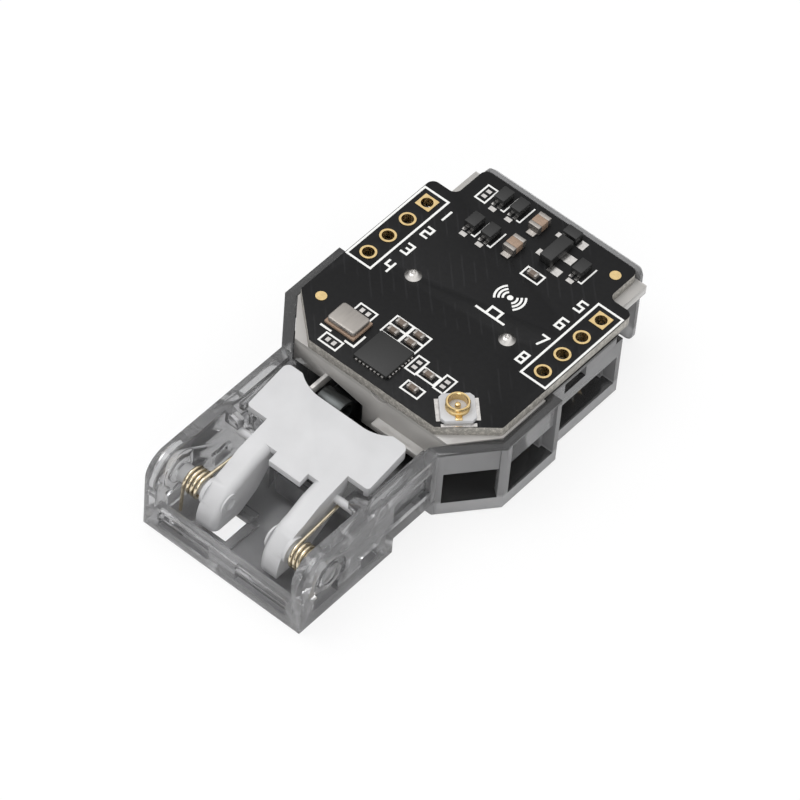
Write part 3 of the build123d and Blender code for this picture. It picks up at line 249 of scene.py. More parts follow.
def clear_plastic(name, base, dark, front_clarity, clarity):
    """Smoky plastic, clearer at the lever end, with painted light and shade in its colour: the lever end
    and the foot's upright faces are painted paler, and painted shade lies on level faces and the band
    round the board.
    """
    finish = Finish(name, {"IOR": 1.5, "Transmission Weight": clarity})
    cloud = finish.noise(5.0, 2.0)
    tone = finish.ramp(cloud, [(0.3, scaled(base, 0.9)), (0.7, scaled(base, 1.1))])
    place = finish.node("SeparateXYZ", {0: finish.place}).outputs
    slope = finish.slope()
    upright = finish.mapped(slope, *UPRIGHT, 1.0, 0.0)
    level = finish.mapped(slope, *LEVEL)
    behind = finish.past(place[1], BODY_FRONT)
    # painted light: upright faces of the foot are painted paler
    foot = finish.product(finish.before(place[2], FOOT_TOP), upright)
    # painted shade: level faces and the band round the board, from the body's front to the back plate,
    # are painted darker
    band = finish.past(place[2], BAND_BOTTOM)
    painted_shade_faces = finish.node("Math", {0: level, 1: band}, operation="MAXIMUM").outputs[0]
    shade = finish.product(finish.product(behind, painted_shade_faces), finish.before(place[1], PLATE_FRONT))
    # painted light: the lever end is painted paler than the body behind it
    body = finish.blend(behind, scaled(base, 1.6), tone)
    paler = finish.blend(foot, body, scaled(base, 1.9))
    # colour with the painted light and the painted shade in it; the painted shade is the base colour
    # scaled by dark
    finish.feed("Base Color", finish.blend(shade, paler, scaled(base, dark)))
    if front_clarity != clarity:
        finish.feed("Transmission Weight", finish.mapped(behind, 0.0, 1.0, front_clarity, clarity))
    wear = finish.noise(0.35, 4.0, (1, 0.3, 1))
    finish.feed("Roughness", finish.mapped(wear, 0.3, 0.8, 0.05, 0.13))
    finish.bump(finish.noise(2.2, 1.0), 0.04, 0.03)
    return finish.material


def white_plastic(tones):
    """White moulded plastic with a satin grain."""
    glow_depth = 0.6 * MM
    finish = Finish("white_moulded_plastic", {"IOR": 1.49, "Subsurface Weight": 0.12,
                                              "Subsurface Radius": (glow_depth, glow_depth, glow_depth)})
    base = tones.white
    mottle = finish.noise(3.0, 3.0)
    stops = [(0.3, scaled(base, 0.95)), (0.7, scaled(base, 1.03))]
    finish.feed("Base Color", finish.ramp(mottle, stops))
    grain = finish.noise(0.12, 3.0)
    finish.feed("Roughness", finish.mapped(grain, 0.3, 0.7, 0.36, 0.5))
    finish.bump(grain, 0.12, 0.01)
    return finish.material


def metal(name, tone, rough, stretch=(1, 1, 1), grain=0.25, spread=0.2, dent=0.006):
    """Metal with a fine drawn or brushed grain and slight changes of tone."""
    finish = Finish(name, {"Metallic": 1.0})
    brush = finish.noise(grain, 4.0, stretch)
    stops = [(0.3, scaled(tone, 1 - spread)), (0.7, scaled(tone, 1 + spread))]
    finish.feed("Base Color", finish.ramp(brush, stops))
    finish.feed("Roughness", finish.mapped(brush, 0.25, 0.75, rough * 0.8, rough * 1.3))
    finish.bump(brush, 0.2, dent)
    return finish.material


def ceramic(name, tone):
    """Unglazed ceramic with fine flecks."""
    finish = Finish(name, {"Roughness": 0.55})
    fleck = finish.noise(0.1, 4.0, rough=0.7)
    finish.feed("Base Color", finish.ramp(fleck, [(0.3, scaled(tone, 0.72)), (0.7, scaled(tone, 1.25))]))
    finish.bump(fleck, 0.3, 0.01)
    return finish.material


def black_plastic(tones):
    """Matt black moulding compound with a coarse grain."""
    finish = Finish("black_moulded_package", {})
    grain = finish.noise(0.07, 4.0, rough=0.7)
    base = tones.black
    finish.feed("Base Color", finish.ramp(grain, [(0.3, scaled(base, 0.75)), (0.75, scaled(base, 1.5))]))
    finish.feed("Roughness", finish.mapped(grain, 0.3, 0.7, 0.42, 0.62))
    finish.bump(grain, 0.35, 0.008)
    return finish.material


def solder_mask(tones):
    """Black solder mask with faint raised tracks and a pale cut rim."""
    finish = Finish("black_solder_mask", {"Specular IOR Level": 0.2})
    base = tones.board
    tracks = finish.mapped(finish.bands(0.7, "DIAGONAL", 0.6), 0.9, 0.98)
    patches = finish.mapped(finish.noise(3.5, 1.0), 0.5, 0.58)
    raised = finish.product(tracks, patches)
    weave = finish.noise(0.25, 2.0)
    plain = finish.ramp(weave, [(0.3, scaled(base, 0.85)), (0.7, scaled(base, 1.2))])
    top = finish.blend(raised, plain, scaled(base, 1.9))
    upright = finish.mapped(finish.slope(), *UPRIGHT, 1.0, 0.0)
    fleck = finish.mapped(finish.noise(0.3, 3.0, rough=0.8), 0.45, 0.65)
    rim = finish.blend(fleck, scaled(tones.rim, 0.8), scaled(tones.rim, 1.4))
    finish.feed("Base Color", finish.blend(upright, top, rim))
    finish.feed("Roughness", finish.mapped(finish.noise(0.5, 3.0), 0.3, 0.7, 0.44, 0.58))
    finish.bump(raised, 0.3, 0.02)
    return finish.material


def ink(tones):
    """White print, a little thin in places."""
    finish = Finish("white_board_print", {"Roughness": 0.6})
    grain = finish.noise(0.09, 3.0, rough=0.7)
    base = tones.ink
    finish.feed("Base Color", finish.ramp(grain, [(0.25, scaled(base, 0.8)), (0.6, scaled(base, 1.05))]))
    finish.bump(grain, 0.2, 0.004)
    return finish.material


FINISHES = {}


def make_finishes(tones):
    """Builds every finish once, by the record's slot names and two more names."""
    if FINISHES:
        return
    FINISHES.update({
        # the third number of each is the painted shade's tone, as a share of the base colour
        "clear_plastic": clear_plastic("smoky_clear_plastic", tones.clear, 0.2,
                                       front_clarity=0.88, clarity=0.5),
        "tray": clear_plastic("milky_clear_plastic", tones.tray, 0.8,
                              front_clarity=0.15, clarity=0.15),
        "white_plastic": white_plastic(tones),
        "spring_wire": metal("spring_wire_drawn", tones.wire, 0.13, grain=0.5, spread=0.18),
        "dark_steel": metal("rocker_steel", tones.steel, 0.34, (0.2, 1, 1)),
        "magnet": metal("magnet_plating", tones.steel, 0.25, grain=0.8),
        "soft_iron": metal("soft_iron_stamped", tones.iron, 0.38, (1, 0.15, 1)),
        "copper_wire": metal("enamelled_copper", tones.copper, 0.3, (0.3, 1, 1)),
        "tinned_metal": metal("tinned_metal_brushed", tones.tin, 0.42, (1, 0.1, 1),
                              grain=0.2, spread=0.12),
        "dull_metal": metal("dull_metal_brushed", tones.dull, 0.5, (1, 0.1, 1),
                            grain=0.2, spread=0.08),
        "solder": metal("bright_solder", tones.tin, 0.2, grain=0.3, spread=0.15, dent=0.02),
        "gold_plate": metal("gold_plating", tones.gold, 0.24, grain=0.3, spread=0.12),
        "board_black": solder_mask(tones),
        "white_print": ink(tones),
        "ceramic_brown": ceramic("brown_ceramic", tones.brown),
        "ceramic_tan": ceramic("tan_ceramic", tones.tan),
        "black_plastic": black_plastic(tones),
    })


# Mesh and node-tree building

def new_object(name, mesh):
    """Puts a mesh into the scene, at the origin."""
    piece = bpy.data.objects.new(name, mesh)
    bpy.context.scene.collection.objects.link(piece)
    return piece


def from_bmesh(name, shape):
    """Turns a bmesh into an object."""
    mesh = bpy.data.meshes.new(name)
    shape.to_mesh(mesh)
    shape.free()
    return new_object(name, mesh)


def settle(piece):
    """Makes the piece's modifiers part of its plain mesh."""
    graph = bpy.context.evaluated_depsgraph_get()
    graph.update()
    mesh = bpy.data.meshes.new_from_object(piece.evaluated_get(graph))
    piece.modifiers.clear()
    piece.data = mesh
    mesh.name = piece.name
    return piece


def smoothed(piece, angle=SMOOTH):
    """Smooth shading that keeps edges sharper than an angle in degrees."""
    piece.data.shade_smooth()
    piece.data.set_sharp_from_angle(angle=math.radians(angle))
    return piece


def rounded(piece, width, segments=2):
    """Rounds a piece's sharp edges."""
    edge = piece.modifiers.new("rounding", "BEVEL")
    edge.width = width
    edge.segments = segments
    edge.limit_method = "ANGLE"
    edge.angle_limit = SHARP
    edge.use_clamp_overlap = True
    settle(piece)
    return smoothed(piece)


def merged(node):
    """A bmesh of a CAD node with its doubles merged and its flat faces whole."""
    shape = bmesh.new()
    shape.from_mesh(frame["nodes"][node].data)
    bmesh.ops.remove_doubles(shape, verts=shape.verts, dist=WELD)
    bmesh.ops.dissolve_limit(shape, angle_limit=FLAT, verts=shape.verts, edges=shape.edges)
    return shape


def solids(node):
    """Lowest and highest corner of each separate solid in a CAD node, from front to back."""
    shape = bmesh.new()
    shape.from_mesh(frame["nodes"][node].data)
    bmesh.ops.remove_doubles(shape, verts=shape.verts, dist=WELD)
    left = set(shape.verts)
    found = []
    while left:
        group = [left.pop()]
        for vertex in group:
            for edge in vertex.link_edges:
                other = edge.other_vert(vertex)
                if other in left:
                    left.remove(other)
                    group.append(other)
        low = Vector(min(vertex.co[axis] for vertex in group) for axis in range(3))
        high = Vector(max(vertex.co[axis] for vertex in group) for axis in range(3))
        found.append((low, high))
    shape.free()
    return sorted(found, key=lambda pair: (round(pair[0].y, 5), round(pair[0].x, 5)))


def record_slot(node):
    """The record's material slot of a CAD node."""
    return next(part["material_slot"] for part in frame["record"]["subparts"] if part["node"] == node)


def home(node):
    """The body that a CAD node belongs to."""
    return next(body for body, nodes in frame["record"]["behaviour"]["bodies"].items() if node in nodes)


def dress(piece, like, *stands_for):
    """Gives a piece the finish of a CAD node, and hides the CAD nodes that it stands for."""
    piece.data.materials.clear()
    piece.data.materials.append(FINISHES[record_slot(like)])
    if stands_for:
        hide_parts(*stands_for)
    return piece


def refinish(piece, name):
    """Gives a piece a finish other than its slot's."""
    piece.data.materials[0] = FINISHES[name]


def fit(piece, like, *stands_for):
    """Dresses a piece and lets it ride on the CAD node's body."""
    dress(piece, like, *stands_for)
    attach(piece, home(like))
    return piece


def finish_node(node):
    """Gives a CAD node its finish."""
    for entry in frame["nodes"][node].material_slots:
        entry.material = FINISHES[record_slot(node)]


def softened(node, name, width, segments=2):
    """A copy of a CAD node with rounded edges, which stands for it."""
    piece = from_bmesh(name, merged(node))
    rounded(piece, width, segments)
    return fit(piece, node, node)


def box_shape(low, high):
    """A bmesh box between two corners."""
    shape = bmesh.new()
    bmesh.ops.create_cube(shape, size=1.0)
    size = high - low
    middle = (high + low) / 2
    for vertex in shape.verts:
        vertex.co = Vector(vertex.co[axis] * size[axis] + middle[axis] for axis in range(3))
    return shape


def turned(name, profile, centre, width, tall, steps=48):
    """Turns a closed profile, in shares of a radius and a height, round an upright axis."""
    shape = bmesh.new()
    rings = []
    for radius, height in ((width * across, tall * up) for across, up in profile):
        if radius == 0:
            rings.append([shape.verts.new(centre + Vector((0, 0, height)))] * steps)
            continue
        ring = []
        for step in range(steps):
            angle = math.tau * step / steps
            offset = Vector((radius * math.cos(angle), radius * math.sin(angle), height))
            ring.append(shape.verts.new(centre + offset))
        rings.append(ring)
    for first, second in zip(rings, rings[1:] + rings[:1]):
        for step in range(steps):
            after = (step + 1) % steps
            corners = [first[step], first[after], second[after], second[step]]
            unique = list(dict.fromkeys(corners))
            if len(unique) > 2:
                shape.faces.new(unique)
    bmesh.ops.recalc_face_normals(shape, faces=shape.faces)
    return smoothed(from_bmesh(name, shape))


def underside(low, high):
    """Middle of a box's underside."""
    return Vector(((low.x + high.x) / 2, (low.y + high.y) / 2, low.z))


def new_tree(name, sockets):
    """An empty geometry tree with a geometry output and named inputs."""
    tree = bpy.data.node_groups.new(name, "GeometryNodeTree")
    tree.interface.new_socket("Geometry", in_out="OUTPUT", socket_type="NodeSocketGeometry")
    for label, kind in sockets:
        tree.interface.new_socket(label, in_out="INPUT", socket_type="NodeSocket" + kind)
    return tree, tree.nodes.new("NodeGroupInput"), tree.nodes.new("NodeGroupOutput")


def close_tree(tree, source, shape, target):
    """Ends a tree in Realize Instances and Set Material."""
    realize = tree.nodes.new("GeometryNodeRealizeInstances")
    paint = tree.nodes.new("GeometryNodeSetMaterial")
    tree.links.new(shape, realize.inputs[0])
    tree.links.new(realize.outputs[0], paint.inputs["Geometry"])
    tree.links.new(source.outputs["Material"], paint.inputs["Material"])
    tree.links.new(paint.outputs[0], target.inputs[0])


def copies_tree():
    """Sets a piece on every point of a mesh."""
    tree, source, target = new_tree("copies_on_points", [
        ("Points", "Geometry"), ("Piece", "Object"), ("Material", "Material")])
    piece = tree.nodes.new("GeometryNodeObjectInfo")
    place = tree.nodes.new("GeometryNodeInstanceOnPoints")
    tree.links.new(source.outputs["Piece"], piece.inputs["Object"])
    tree.links.new(source.outputs["Points"], place.inputs["Points"])
    tree.links.new(piece.outputs["Geometry"], place.inputs["Instance"])
    close_tree(tree, source, place.outputs[0], target)
    return tree


def wire_tree():
    """Draws round wire along the edges of a mesh, repeated in a row."""
    tree, source, target = new_tree("wire_along_path", [
        ("Path", "Geometry"), ("Radius", "Float"), ("Sides", "Int"), ("Count", "Int"),
        ("Step", "Vector"), ("Material", "Material")])
    curve = tree.nodes.new("GeometryNodeMeshToCurve")
    circle = tree.nodes.new("GeometryNodeCurvePrimitiveCircle")
    sweep = tree.nodes.new("GeometryNodeCurveToMesh")
    sweep.inputs["Fill Caps"].default_value = True
    row = tree.nodes.new("GeometryNodeMeshLine")
    place = tree.nodes.new("GeometryNodeInstanceOnPoints")
    tree.links.new(source.outputs["Path"], curve.inputs[0])
    tree.links.new(source.outputs["Sides"], circle.inputs["Resolution"])
    tree.links.new(source.outputs["Radius"], circle.inputs["Radius"])
    tree.links.new(curve.outputs[0], sweep.inputs["Curve"])
    tree.links.new(circle.outputs[0], sweep.inputs["Profile Curve"])
    tree.links.new(source.outputs["Count"], row.inputs["Count"])
    tree.links.new(source.outputs["Step"], row.inputs["Offset"])
    tree.links.new(row.outputs[0], place.inputs["Points"])
    tree.links.new(sweep.outputs[0], place.inputs["Instance"])
    close_tree(tree, source, place.outputs[0], target)
    return tree


def block_row_tree():
    """Sets equal blocks in a row. The geometry that comes in is replaced."""
    tree, source, target = new_tree("block_row", [
        ("Seed", "Geometry"), ("Size", "Vector"), ("Count", "Int"), ("Start", "Vector"),
        ("Step", "Vector"), ("Material", "Material")])
    cube = tree.nodes.new("GeometryNodeMeshCube")
    row = tree.nodes.new("GeometryNodeMeshLine")
    place = tree.nodes.new("GeometryNodeInstanceOnPoints")
    tree.links.new(source.outputs["Size"], cube.inputs["Size"])
    tree.links.new(source.outputs["Count"], row.inputs["Count"])
    tree.links.new(source.outputs["Start"], row.inputs["Start Location"])
    tree.links.new(source.outputs["Step"], row.inputs["Offset"])
    tree.links.new(row.outputs[0], place.inputs["Points"])
    tree.links.new(cube.outputs[0], place.inputs["Instance"])
    close_tree(tree, source, place.outputs[0], target)
    return tree


def grown(name, tree, mesh, inputs):
    """Runs a geometry tree on a mesh and keeps the result as a plain mesh."""
    piece = new_object(name, mesh)
    growth = piece.modifiers.new("growth", "NODES")
    growth.node_group = tree
    sockets = {item.name: item.identifier for item in tree.interface.items_tree
               if item.in_out == "INPUT"}
    for label, value in inputs.items():
        growth[sockets[label]] = value
    return settle(piece)


def points_mesh(name, points):
    """A mesh of single points."""
    mesh = bpy.data.meshes.new(name)
    mesh.from_pydata(points, [], [])
    return mesh


def path_mesh(name, points, closed=False):
    """A mesh of edges along points."""
    mesh = bpy.data.meshes.new(name)
    edges = [(index, index + 1) for index in range(len(points) - 1)]
    if closed:
        edges.append((len(points) - 1, 0))
    mesh.from_pydata(points, edges, [])
    return mesh


def drop(piece):
    """Deletes a helper object."""
    bpy.data.objects.remove(piece, do_unlink=True)


def copied(name, node, prototype, boxes):
    """Sets a prototype, built round the origin's ground, under every box's middle."""
    points = [underside(low, high) for low, high in boxes]
    piece = grown(name, copies_tree(), points_mesh(name + "_places", points),
                  {"Piece": prototype, "Material": FINISHES[record_slot(node)]})
    drop(prototype)
    smoothed(piece)
    return piece


# Pieces

def prepared(context):
    """Builds the finishes if they aren't there yet, and gives the sizes."""
    make_finishes(context.scene.module_colours)
    return context.scene.module_sizes


class MODULE_OT_mouldings(bpy.types.Operator):
    """Clear lower and upper mouldings with rounded edges"""
    bl_idname = "module.mouldings"
    bl_label = "Clear mouldings"

    def execute(self, context):
        sizes = prepared(context)
        softened("base_housing", "clear_base", sizes.moulding_edge)
        tray = softened("upper_housing", "clear_tray", sizes.moulding_edge)
        refinish(tray, "tray")
        return {"FINISHED"}


class MODULE_OT_lever(bpy.types.Operator):
    """White lever with softly moulded edges"""
    bl_idname = "module.lever"
    bl_label = "Lever"

    def execute(self, context):
        sizes = prepared(context)
        softened("lever", "white_lever", sizes.lever_edge, segments=3)
        return {"FINISHED"}


COIL_STEPS = 36         # points along one turn, the long leg and the short leg
LEG_STEPS = 12
FOOT_STEPS = 3
SPRING_SIDES = 14
SPRING_SMOOTH = 60      # degrees


def spring_path(sizes, side):
    """Points along one spring: leg under the peg, coil, leg to the floor."""
    pivot = PIVOT["lever_press"]
    radius = sizes.spring_radius
    reach = math.hypot(sizes.peg_reach, sizes.peg_height)
    start = math.atan2(sizes.peg_height, sizes.peg_reach) + math.acos(radius / reach)
    sweep = math.pi - start + math.tau * sizes.spring_turns
    long_leg = math.sqrt(reach ** 2 - radius ** 2) + sizes.leg_overreach

    def around(angle):
        """Point of the coil."""
        across = sizes.spring_inset + sizes.spring_pitch * (angle - start) / math.tau
        return Vector((across, pivot.y + radius * math.cos(angle), pivot.z + radius * math.sin(angle)))

    def along(angle):
        """Direction of the coil."""
        rise = sizes.spring_pitch / math.tau / radius
        return Vector((rise, -math.sin(angle), math.cos(angle))).normalized()

    steps = COIL_STEPS * sizes.spring_turns
    coil = [around(start + sweep * step / steps) for step in range(steps + 1)]
    leg = [coil[0] - along(start) * long_leg * (1 - step / LEG_STEPS) for step in range(LEG_STEPS)]
    down = along(start + sweep) * sizes.floor_drop / FOOT_STEPS
    foot = [coil[-1] + down * step for step in range(1, FOOT_STEPS + 1)]
    return [(side * point.x, point.y, point.z) for point in leg + coil + foot]


class MODULE_OT_springs(bpy.types.Operator):
    """Two torsion springs round the lever's trunnions, with legs that follow its pegs"""
    bl_idname = "module.springs"
    bl_label = "Torsion springs"

    def execute(self, context):
        sizes = prepared(context)
        tree = wire_tree()
        for side, node in ((1, "spring_right"), (-1, "spring_left")):
            path = path_mesh(node + "_path", spring_path(sizes, side))
            spring = grown(node + "_wire", tree, path, {
                "Radius": sizes.spring_wire / 2, "Sides": SPRING_SIDES, "Count": 1,
                "Material": FINISHES[record_slot(node)]})
            smoothed(spring, SPRING_SMOOTH)
            dress(spring, node, node)
            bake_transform(spring)
        return {"FINISHED"}


CORNER_STEPS = 4        # points round a turn's corner
TURN_SIDES = 6
TURN_SMOOTH = 80        # degrees


class MODULE_OT_generator(bpy.types.Operator):
    """Rocker, magnet, core, bobbin and a winding of copper turns"""
    bl_idname = "module.generator"
    bl_label = "Generator"

    def execute(self, context):
        sizes = prepared(context)
        softened("rocker", "steel_rocker", sizes.steel_edge)
        for node in ("magnet", "upper_pole_plate", "lower_pole_plate", "core", "coil_bobbin",
                     "coil_pins"):
            finish_node(node)
        low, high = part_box("coil_winding")
        radius = sizes.winding_wire / 2
        corner = sizes.winding_corner
        inside = Vector((high.x - radius, 0, (high.z - low.z) / 2 - radius))
        middle = (high.z + low.z) / 2
        loop = []
        for sign_x, sign_z, turn in ((1, 1, 0), (-1, 1, 90), (-1, -1, 180), (1, -1, 270)):
            for step in range(CORNER_STEPS + 1):
                angle = math.radians(turn + 90 * step / CORNER_STEPS)
                across = sign_x * (inside.x - corner) + corner * math.cos(angle)
                up = sign_z * (inside.z - corner) + corner * math.sin(angle)
                loop.append((across, low.y + radius, middle + up))
        count = int((high.y - low.y) / sizes.winding_wire)
        step = (high.y - low.y - sizes.winding_wire) / (count - 1)
        turns = grown("copper_turns", wire_tree(), path_mesh("turn_path", loop, closed=True), {
            "Radius": radius, "Sides": TURN_SIDES, "Count": count, "Step": (0, step, 0),
            "Material": FINISHES["copper_wire"]})
        smoothed(turns, TURN_SMOOTH)
        fit(turns, "coil_winding")
        finish_node("coil_winding")
        return {"FINISHED"}


# Half profile of a solder dome with a dimple, in shares of its radius and height
SOLDER_PROFILE = ((0, 0), (1, 0), (0.93, 0.14), (0.78, 0.36), (0.6, 0.72), (0.42, 0.97), (0.28, 1),
                  (0.2, 0.8), (0, 0.72))


class MODULE_OT_board(bpy.types.Operator):
    """Circuit board with its print, plated holes and solder"""
    bl_idname = "module.board"
    bl_label = "Circuit board"

    def execute(self, context):
        sizes = prepared(context)
        softened("circuit_board", "black_board", sizes.board_edge)
        for node in ("board_print", "header_plating_left", "header_plating_right", "solder_pads",
                     "power_pads", "fiducial_pads"):
            finish_node(node)
        for index, (low, high) in enumerate(solids("solder_joints")):
            blob = turned(f"solder_cone_{index + 1}", SOLDER_PROFILE, underside(low, high),
                          (high.x - low.x) / 2, high.z - low.z)
            fit(blob, "solder_joints", "solder_joints")
        return {"FINISHED"}


CAP_SHARE = 0.24        # part of a chip's length that each tinned end takes
CAP_OVERLAP = 0.2       # part of the end that the ceramic goes into
CORE_WIDTH = 0.92       # ceramic's width and height, as shares of the ends'
CORE_HEIGHT = 0.94


class MODULE_OT_chips(bpy.types.Operator):
    """Small ceramic chips with tinned ends"""
    bl_idname = "module.chips"
    bl_label = "Small chips"

    def execute(self, context):
        sizes = prepared(context)
        boxes = solids("chip_parts")
        size = boxes[0][1] - boxes[0][0]
        cap = size.x * CAP_SHARE
        edge = sizes.package_edge
        reach = Vector((size.x / 2 - cap * (1 - CAP_OVERLAP), size.y * CORE_WIDTH / 2, 0))
        core = from_bmesh("chip_core", box_shape(-reach, reach + Vector((0, 0, size.z * CORE_HEIGHT))))
        rounded(core, edge)
        bodies = copied("chip_ceramics", "chip_parts", core, boxes)
        fit(bodies, "chip_parts", "chip_parts")
        ends = bmesh.new()
        for side in (-1, 1):
            low = Vector((-size.x / 2 if side < 0 else size.x / 2 - cap, -size.y / 2, 0))
            block = box_shape(low, low + Vector((cap, size.y, size.z)))
            extra = bpy.data.meshes.new("end_block")
            block.to_mesh(extra)
            block.free()
            ends.from_mesh(extra)
            bpy.data.meshes.remove(extra)
        caps = rounded(from_bmesh("chip_caps_shape", ends), edge)
        tips = copied("chip_caps", "capacitor_ends", caps, boxes)
        fit(tips, "capacitor_ends", "chip_parts")
        refinish(tips, "dull_metal")
        return {"FINISHED"}


class MODULE_OT_packages(bpy.types.Operator):
    """Small moulded packages, their legs and the larger power package"""
    bl_idname = "module.packages"
    bl_label = "Packages"

    def execute(self, context):
        sizes = prepared(context)
        for node in ("small_packages", "power_chip", "controller_chip", "crystal_base",
                     "capacitor_bodies", "capacitor_ends"):
            package = softened(node, node + "_moulded", sizes.package_edge)
            if node == "capacitor_ends":
                refinish(package, "dull_metal")
        finish_node("package_legs")
        self.leads(sizes)
        return {"FINISHED"}

    def leads(self, sizes):
        """Leads along the controller's right and front sides, tinned as the capacitors' ends are."""
        low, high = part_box("controller_chip")
        middle = (low + high) / 2
        tree = block_row_tree()
        span = sizes.lead_pitch * (sizes.lead_count - 1)
        out = (high.x - low.x) / 2 + sizes.lead_stand
        block = Vector((sizes.lead_width, sizes.lead_width, sizes.lead_height))
        for index, (along, across) in enumerate((((1, 0, 0), (0, -1, 0)), ((0, 1, 0), (1, 0, 0)))):
            along = Vector(along)
            start = middle + Vector(across) * out - along * span / 2
            start.z = low.z + sizes.lead_height / 2
            row = grown(f"controller_leads_{index + 1}", tree, points_mesh("lead_seed", [(0, 0, 0)]), {
                "Size": block, "Count": sizes.lead_count, "Start": start,
                "Step": along * sizes.lead_pitch, "Material": FINISHES["tinned_metal"]})
            fit(row, "capacitor_ends")


class MODULE_OT_crystal(bpy.types.Operator):
    """Crystal's dull metal lid with rounded edges"""
    bl_idname = "module.crystal"
    bl_label = "Crystal"

    def execute(self, context):
        sizes = prepared(context)
        lid = from_bmesh("crystal_lid", merged("crystal_can"))
        rounded(lid, sizes.lid_edge, segments=3)
        fit(lid, "crystal_can", "crystal_can")
        refinish(lid, "dull_metal")
        return {"FINISHED"}


# Half profiles of the socket's grooved collar and its pin, in shares of their radius and height
COLLAR_PROFILE = ((0.76, 0), (1, 0), (1, 0.3), (0.9, 0.42), (0.9, 0.66), (0.98, 0.78), (1, 0.88),
                  (0.95, 1), (0.8208, 1), (0.76, 0.9))
PIN_PROFILE = ((0, 0), (1, 0), (1, 0.7), (0.85, 0.9), (0.5, 1), (0, 1))
TAB_START = 0.9                     # share of the collar's radius
TAB_TURN = math.radians(45)


class MODULE_OT_socket(bpy.types.Operator):
    """Coaxial socket: notched base, grooved collar and centre pin"""
    bl_idname = "module.socket"
    bl_label = "Coaxial socket"

    def execute(self, context):
        sizes = prepared(context)
        softened("antenna_socket_base", "socket_base", sizes.package_edge)
        low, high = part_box("antenna_socket_pin")
        middle = underside(low, high)
        outer = sizes.collar_radius
        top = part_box("antenna_socket_ring")[1].z - low.z
        collar = turned("socket_collar", COLLAR_PROFILE, middle, outer, top)
        fit(collar, "antenna_socket_ring", "antenna_socket_ring")
        half = sizes.tab_width / 2
        shape = box_shape(Vector((-half, -sizes.tab_reach, 0)),
                          Vector((half, -outer * TAB_START, sizes.tab_thickness)))
        tab = rounded(from_bmesh("socket_tab", shape), sizes.package_edge)
        tab.data.transform(Matrix.Translation(middle) @ Matrix.Rotation(TAB_TURN, 4, "Z"))
        fit(tab, "antenna_socket_ring", "antenna_socket_ring")
        pin = turned("socket_pin", PIN_PROFILE, middle, (high.x - low.x) / 2, high.z - low.z, steps=24)
        fit(pin, "antenna_socket_pin", "antenna_socket_pin")
        return {"FINISHED"}


# Stage

CAMERA_PLACE = (0.17875739, -0.24050084, 0.36168534)
CAMERA_TURN = (39.8085417, -3.3389428, 40.5663490)
CAMERA_LENS = 252.255           # millimetres, as the sensor's width
CAMERA_SENSOR = 36
CAMERA_RANGE = (0.01, 10)       # nearest and furthest distance seen
SKY = ((0.0, 0.10), (0.25, 0.18), (0.5, 0.55), (0.75, 1.0))    # height, brightness
SKY_STRENGTH = 1.1
FLOOR_TONES = ((0.9, 0.9, 0.9), (0.93, 0.93, 0.93))
FLOOR_GLOW = 0.82
FLOOR_HALF = 1.5
FLOOR_DROP = 0.05 * MM
LAMPS = (("key_softbox", (-0.12, -0.05, 0.34), 0.2, 0.42),      # name, place, size, power
         ("front_softbox", (0.22, -0.3, 0.16), 0.16, 0.25))


def seen_white(material, share):
    """Adds a white glow that is seen straight on, and lights nothing."""
    tree = material.node_tree
    path = tree.nodes.new("ShaderNodeLightPath")
    glow = tree.nodes.new("ShaderNodeEmission")
    mix = tree.nodes.new("ShaderNodeMixShader")
    glow.inputs["Color"].default_value = (1, 1, 1, 1)
    part = tree.nodes.new("ShaderNodeMath")
    part.operation = "MULTIPLY"
    part.inputs[1].default_value = share
    tree.links.new(path.outputs["Is Camera Ray"], part.inputs[0])
    tree.links.new(part.outputs[0], mix.inputs[0])
    tree.links.new(tree.nodes["Principled BSDF"].outputs[0], mix.inputs[1])
    tree.links.new(glow.outputs[0], mix.inputs[2])
    tree.links.new(mix.outputs[0], tree.nodes["Material Output"].inputs["Surface"])


def softbox(name, place, size, power):
    """Square area lamp turned towards the module."""
    lamp = bpy.data.lights.new(name, "AREA")
    lamp.shape = "SQUARE"
    lamp.size = size
    lamp.energy = power
    holder = bpy.data.objects.new(name, lamp)
    bpy.context.scene.collection.objects.link(holder)
    holder.location = place
    holder.rotation_euler = (-Vector(place)).to_track_quat("-Z", "Y").to_euler()


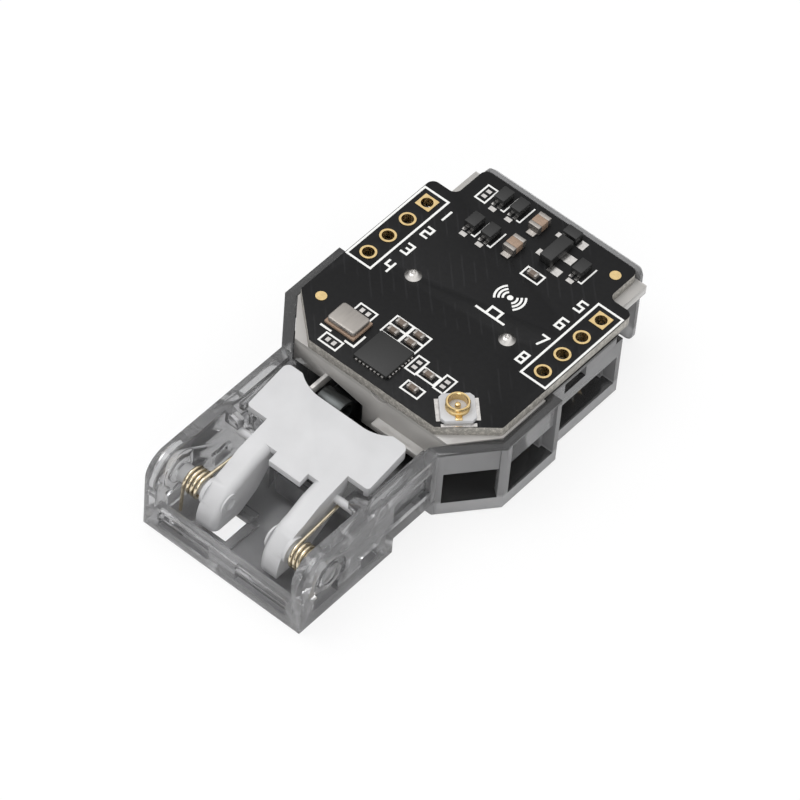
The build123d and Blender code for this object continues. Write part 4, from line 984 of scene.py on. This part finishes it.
class MODULE_OT_stage(bpy.types.Operator):
    """Pale floor, soft light and camera"""
    bl_idname = "module.stage"
    bl_label = "Stage"

    def execute(self, context):
        scene = context.scene
        scene.view_settings.view_transform = "Standard"
        floor_finish = Finish("pale_floor", {"Roughness": 0.9})
        tone = floor_finish.noise(40.0, 2.0)
        stops = [(0.3, FLOOR_TONES[0]), (0.7, FLOOR_TONES[1])]
        floor_finish.feed("Base Color", floor_finish.ramp(tone, stops))
        seen_white(floor_finish.material, FLOOR_GLOW)
        shape = bmesh.new()
        bmesh.ops.create_grid(shape, x_segments=2, y_segments=2, size=FLOOR_HALF)
        floor = from_bmesh("floor", shape)
        for vertex in floor.data.vertices:
            vertex.co.z = -FLOOR_DROP
        floor.data.materials.append(floor_finish.material)

        world = bpy.data.worlds.new("studio")
        world.use_nodes = True
        scene.world = world
        tree = world.node_tree
        place = tree.nodes.new("ShaderNodeTexCoord")
        split = tree.nodes.new("ShaderNodeSeparateXYZ")
        ramp = tree.nodes.new("ShaderNodeValToRGB")
        tree.links.new(place.outputs["Generated"], split.inputs[0])
        tree.links.new(split.outputs[2], ramp.inputs[0])
        line = ramp.color_ramp.elements
        while len(line) < len(SKY):
            line.new(0.5)
        for mark, (position, tone) in zip(line, SKY):
            mark.position = position
            mark.color = (tone, tone, tone, 1)
        tree.links.new(ramp.outputs[0], tree.nodes["Background"].inputs["Color"])
        tree.nodes["Background"].inputs["Strength"].default_value = SKY_STRENGTH

        for lamp in LAMPS:
            softbox(*lamp)

        camera = bpy.data.cameras.new("camera")
        camera.sensor_width = CAMERA_SENSOR
        camera.lens = CAMERA_LENS
        camera.clip_start, camera.clip_end = CAMERA_RANGE
        holder = bpy.data.objects.new("camera", camera)
        scene.collection.objects.link(holder)
        holder.location = CAMERA_PLACE
        holder.rotation_euler = [math.radians(angle) for angle in CAMERA_TURN]
        scene.camera = holder
        return {"FINISHED"}


class MODULE_PT_panel(bpy.types.Panel):
    """Sidebar panel with the module's sizes, colours and steps"""
    bl_idname = "MODULE_PT_panel"
    bl_label = "Switch module"
    bl_space_type = "VIEW_3D"
    bl_region_type = "UI"
    bl_category = "Switch module"

    def draw(self, context):
        layout = self.layout
        for group in (context.scene.module_sizes, context.scene.module_colours):
            box = layout.box()
            for name in group.bl_rna.properties.keys():
                if name not in ("rna_type", "name"):
                    box.prop(group, name)
        for step in STEPS:
            layout.operator(step.bl_idname)


STEPS = (MODULE_OT_mouldings, MODULE_OT_lever, MODULE_OT_springs, MODULE_OT_generator, MODULE_OT_board,
         MODULE_OT_chips, MODULE_OT_packages, MODULE_OT_crystal, MODULE_OT_socket, MODULE_OT_stage)
CLASSES = (ModuleSizes, ModuleColours, *STEPS, MODULE_PT_panel)


def register():
    """Registers the classes and the scene's two groups of properties."""
    for cls in CLASSES:
        bpy.utils.register_class(cls)
    bpy.types.Scene.module_sizes = PointerProperty(type=ModuleSizes)
    bpy.types.Scene.module_colours = PointerProperty(type=ModuleColours)


def unregister():
    """Takes the scene's properties and the classes away."""
    del bpy.types.Scene.module_colours
    del bpy.types.Scene.module_sizes
    for cls in reversed(CLASSES):
        bpy.utils.unregister_class(cls)


def main():
    """Runs the steps in order."""
    register()
    for step in STEPS:
        group, name = step.bl_idname.split(".")
        getattr(getattr(bpy.ops, group), name)()


if __name__ == "__main__":
    main()
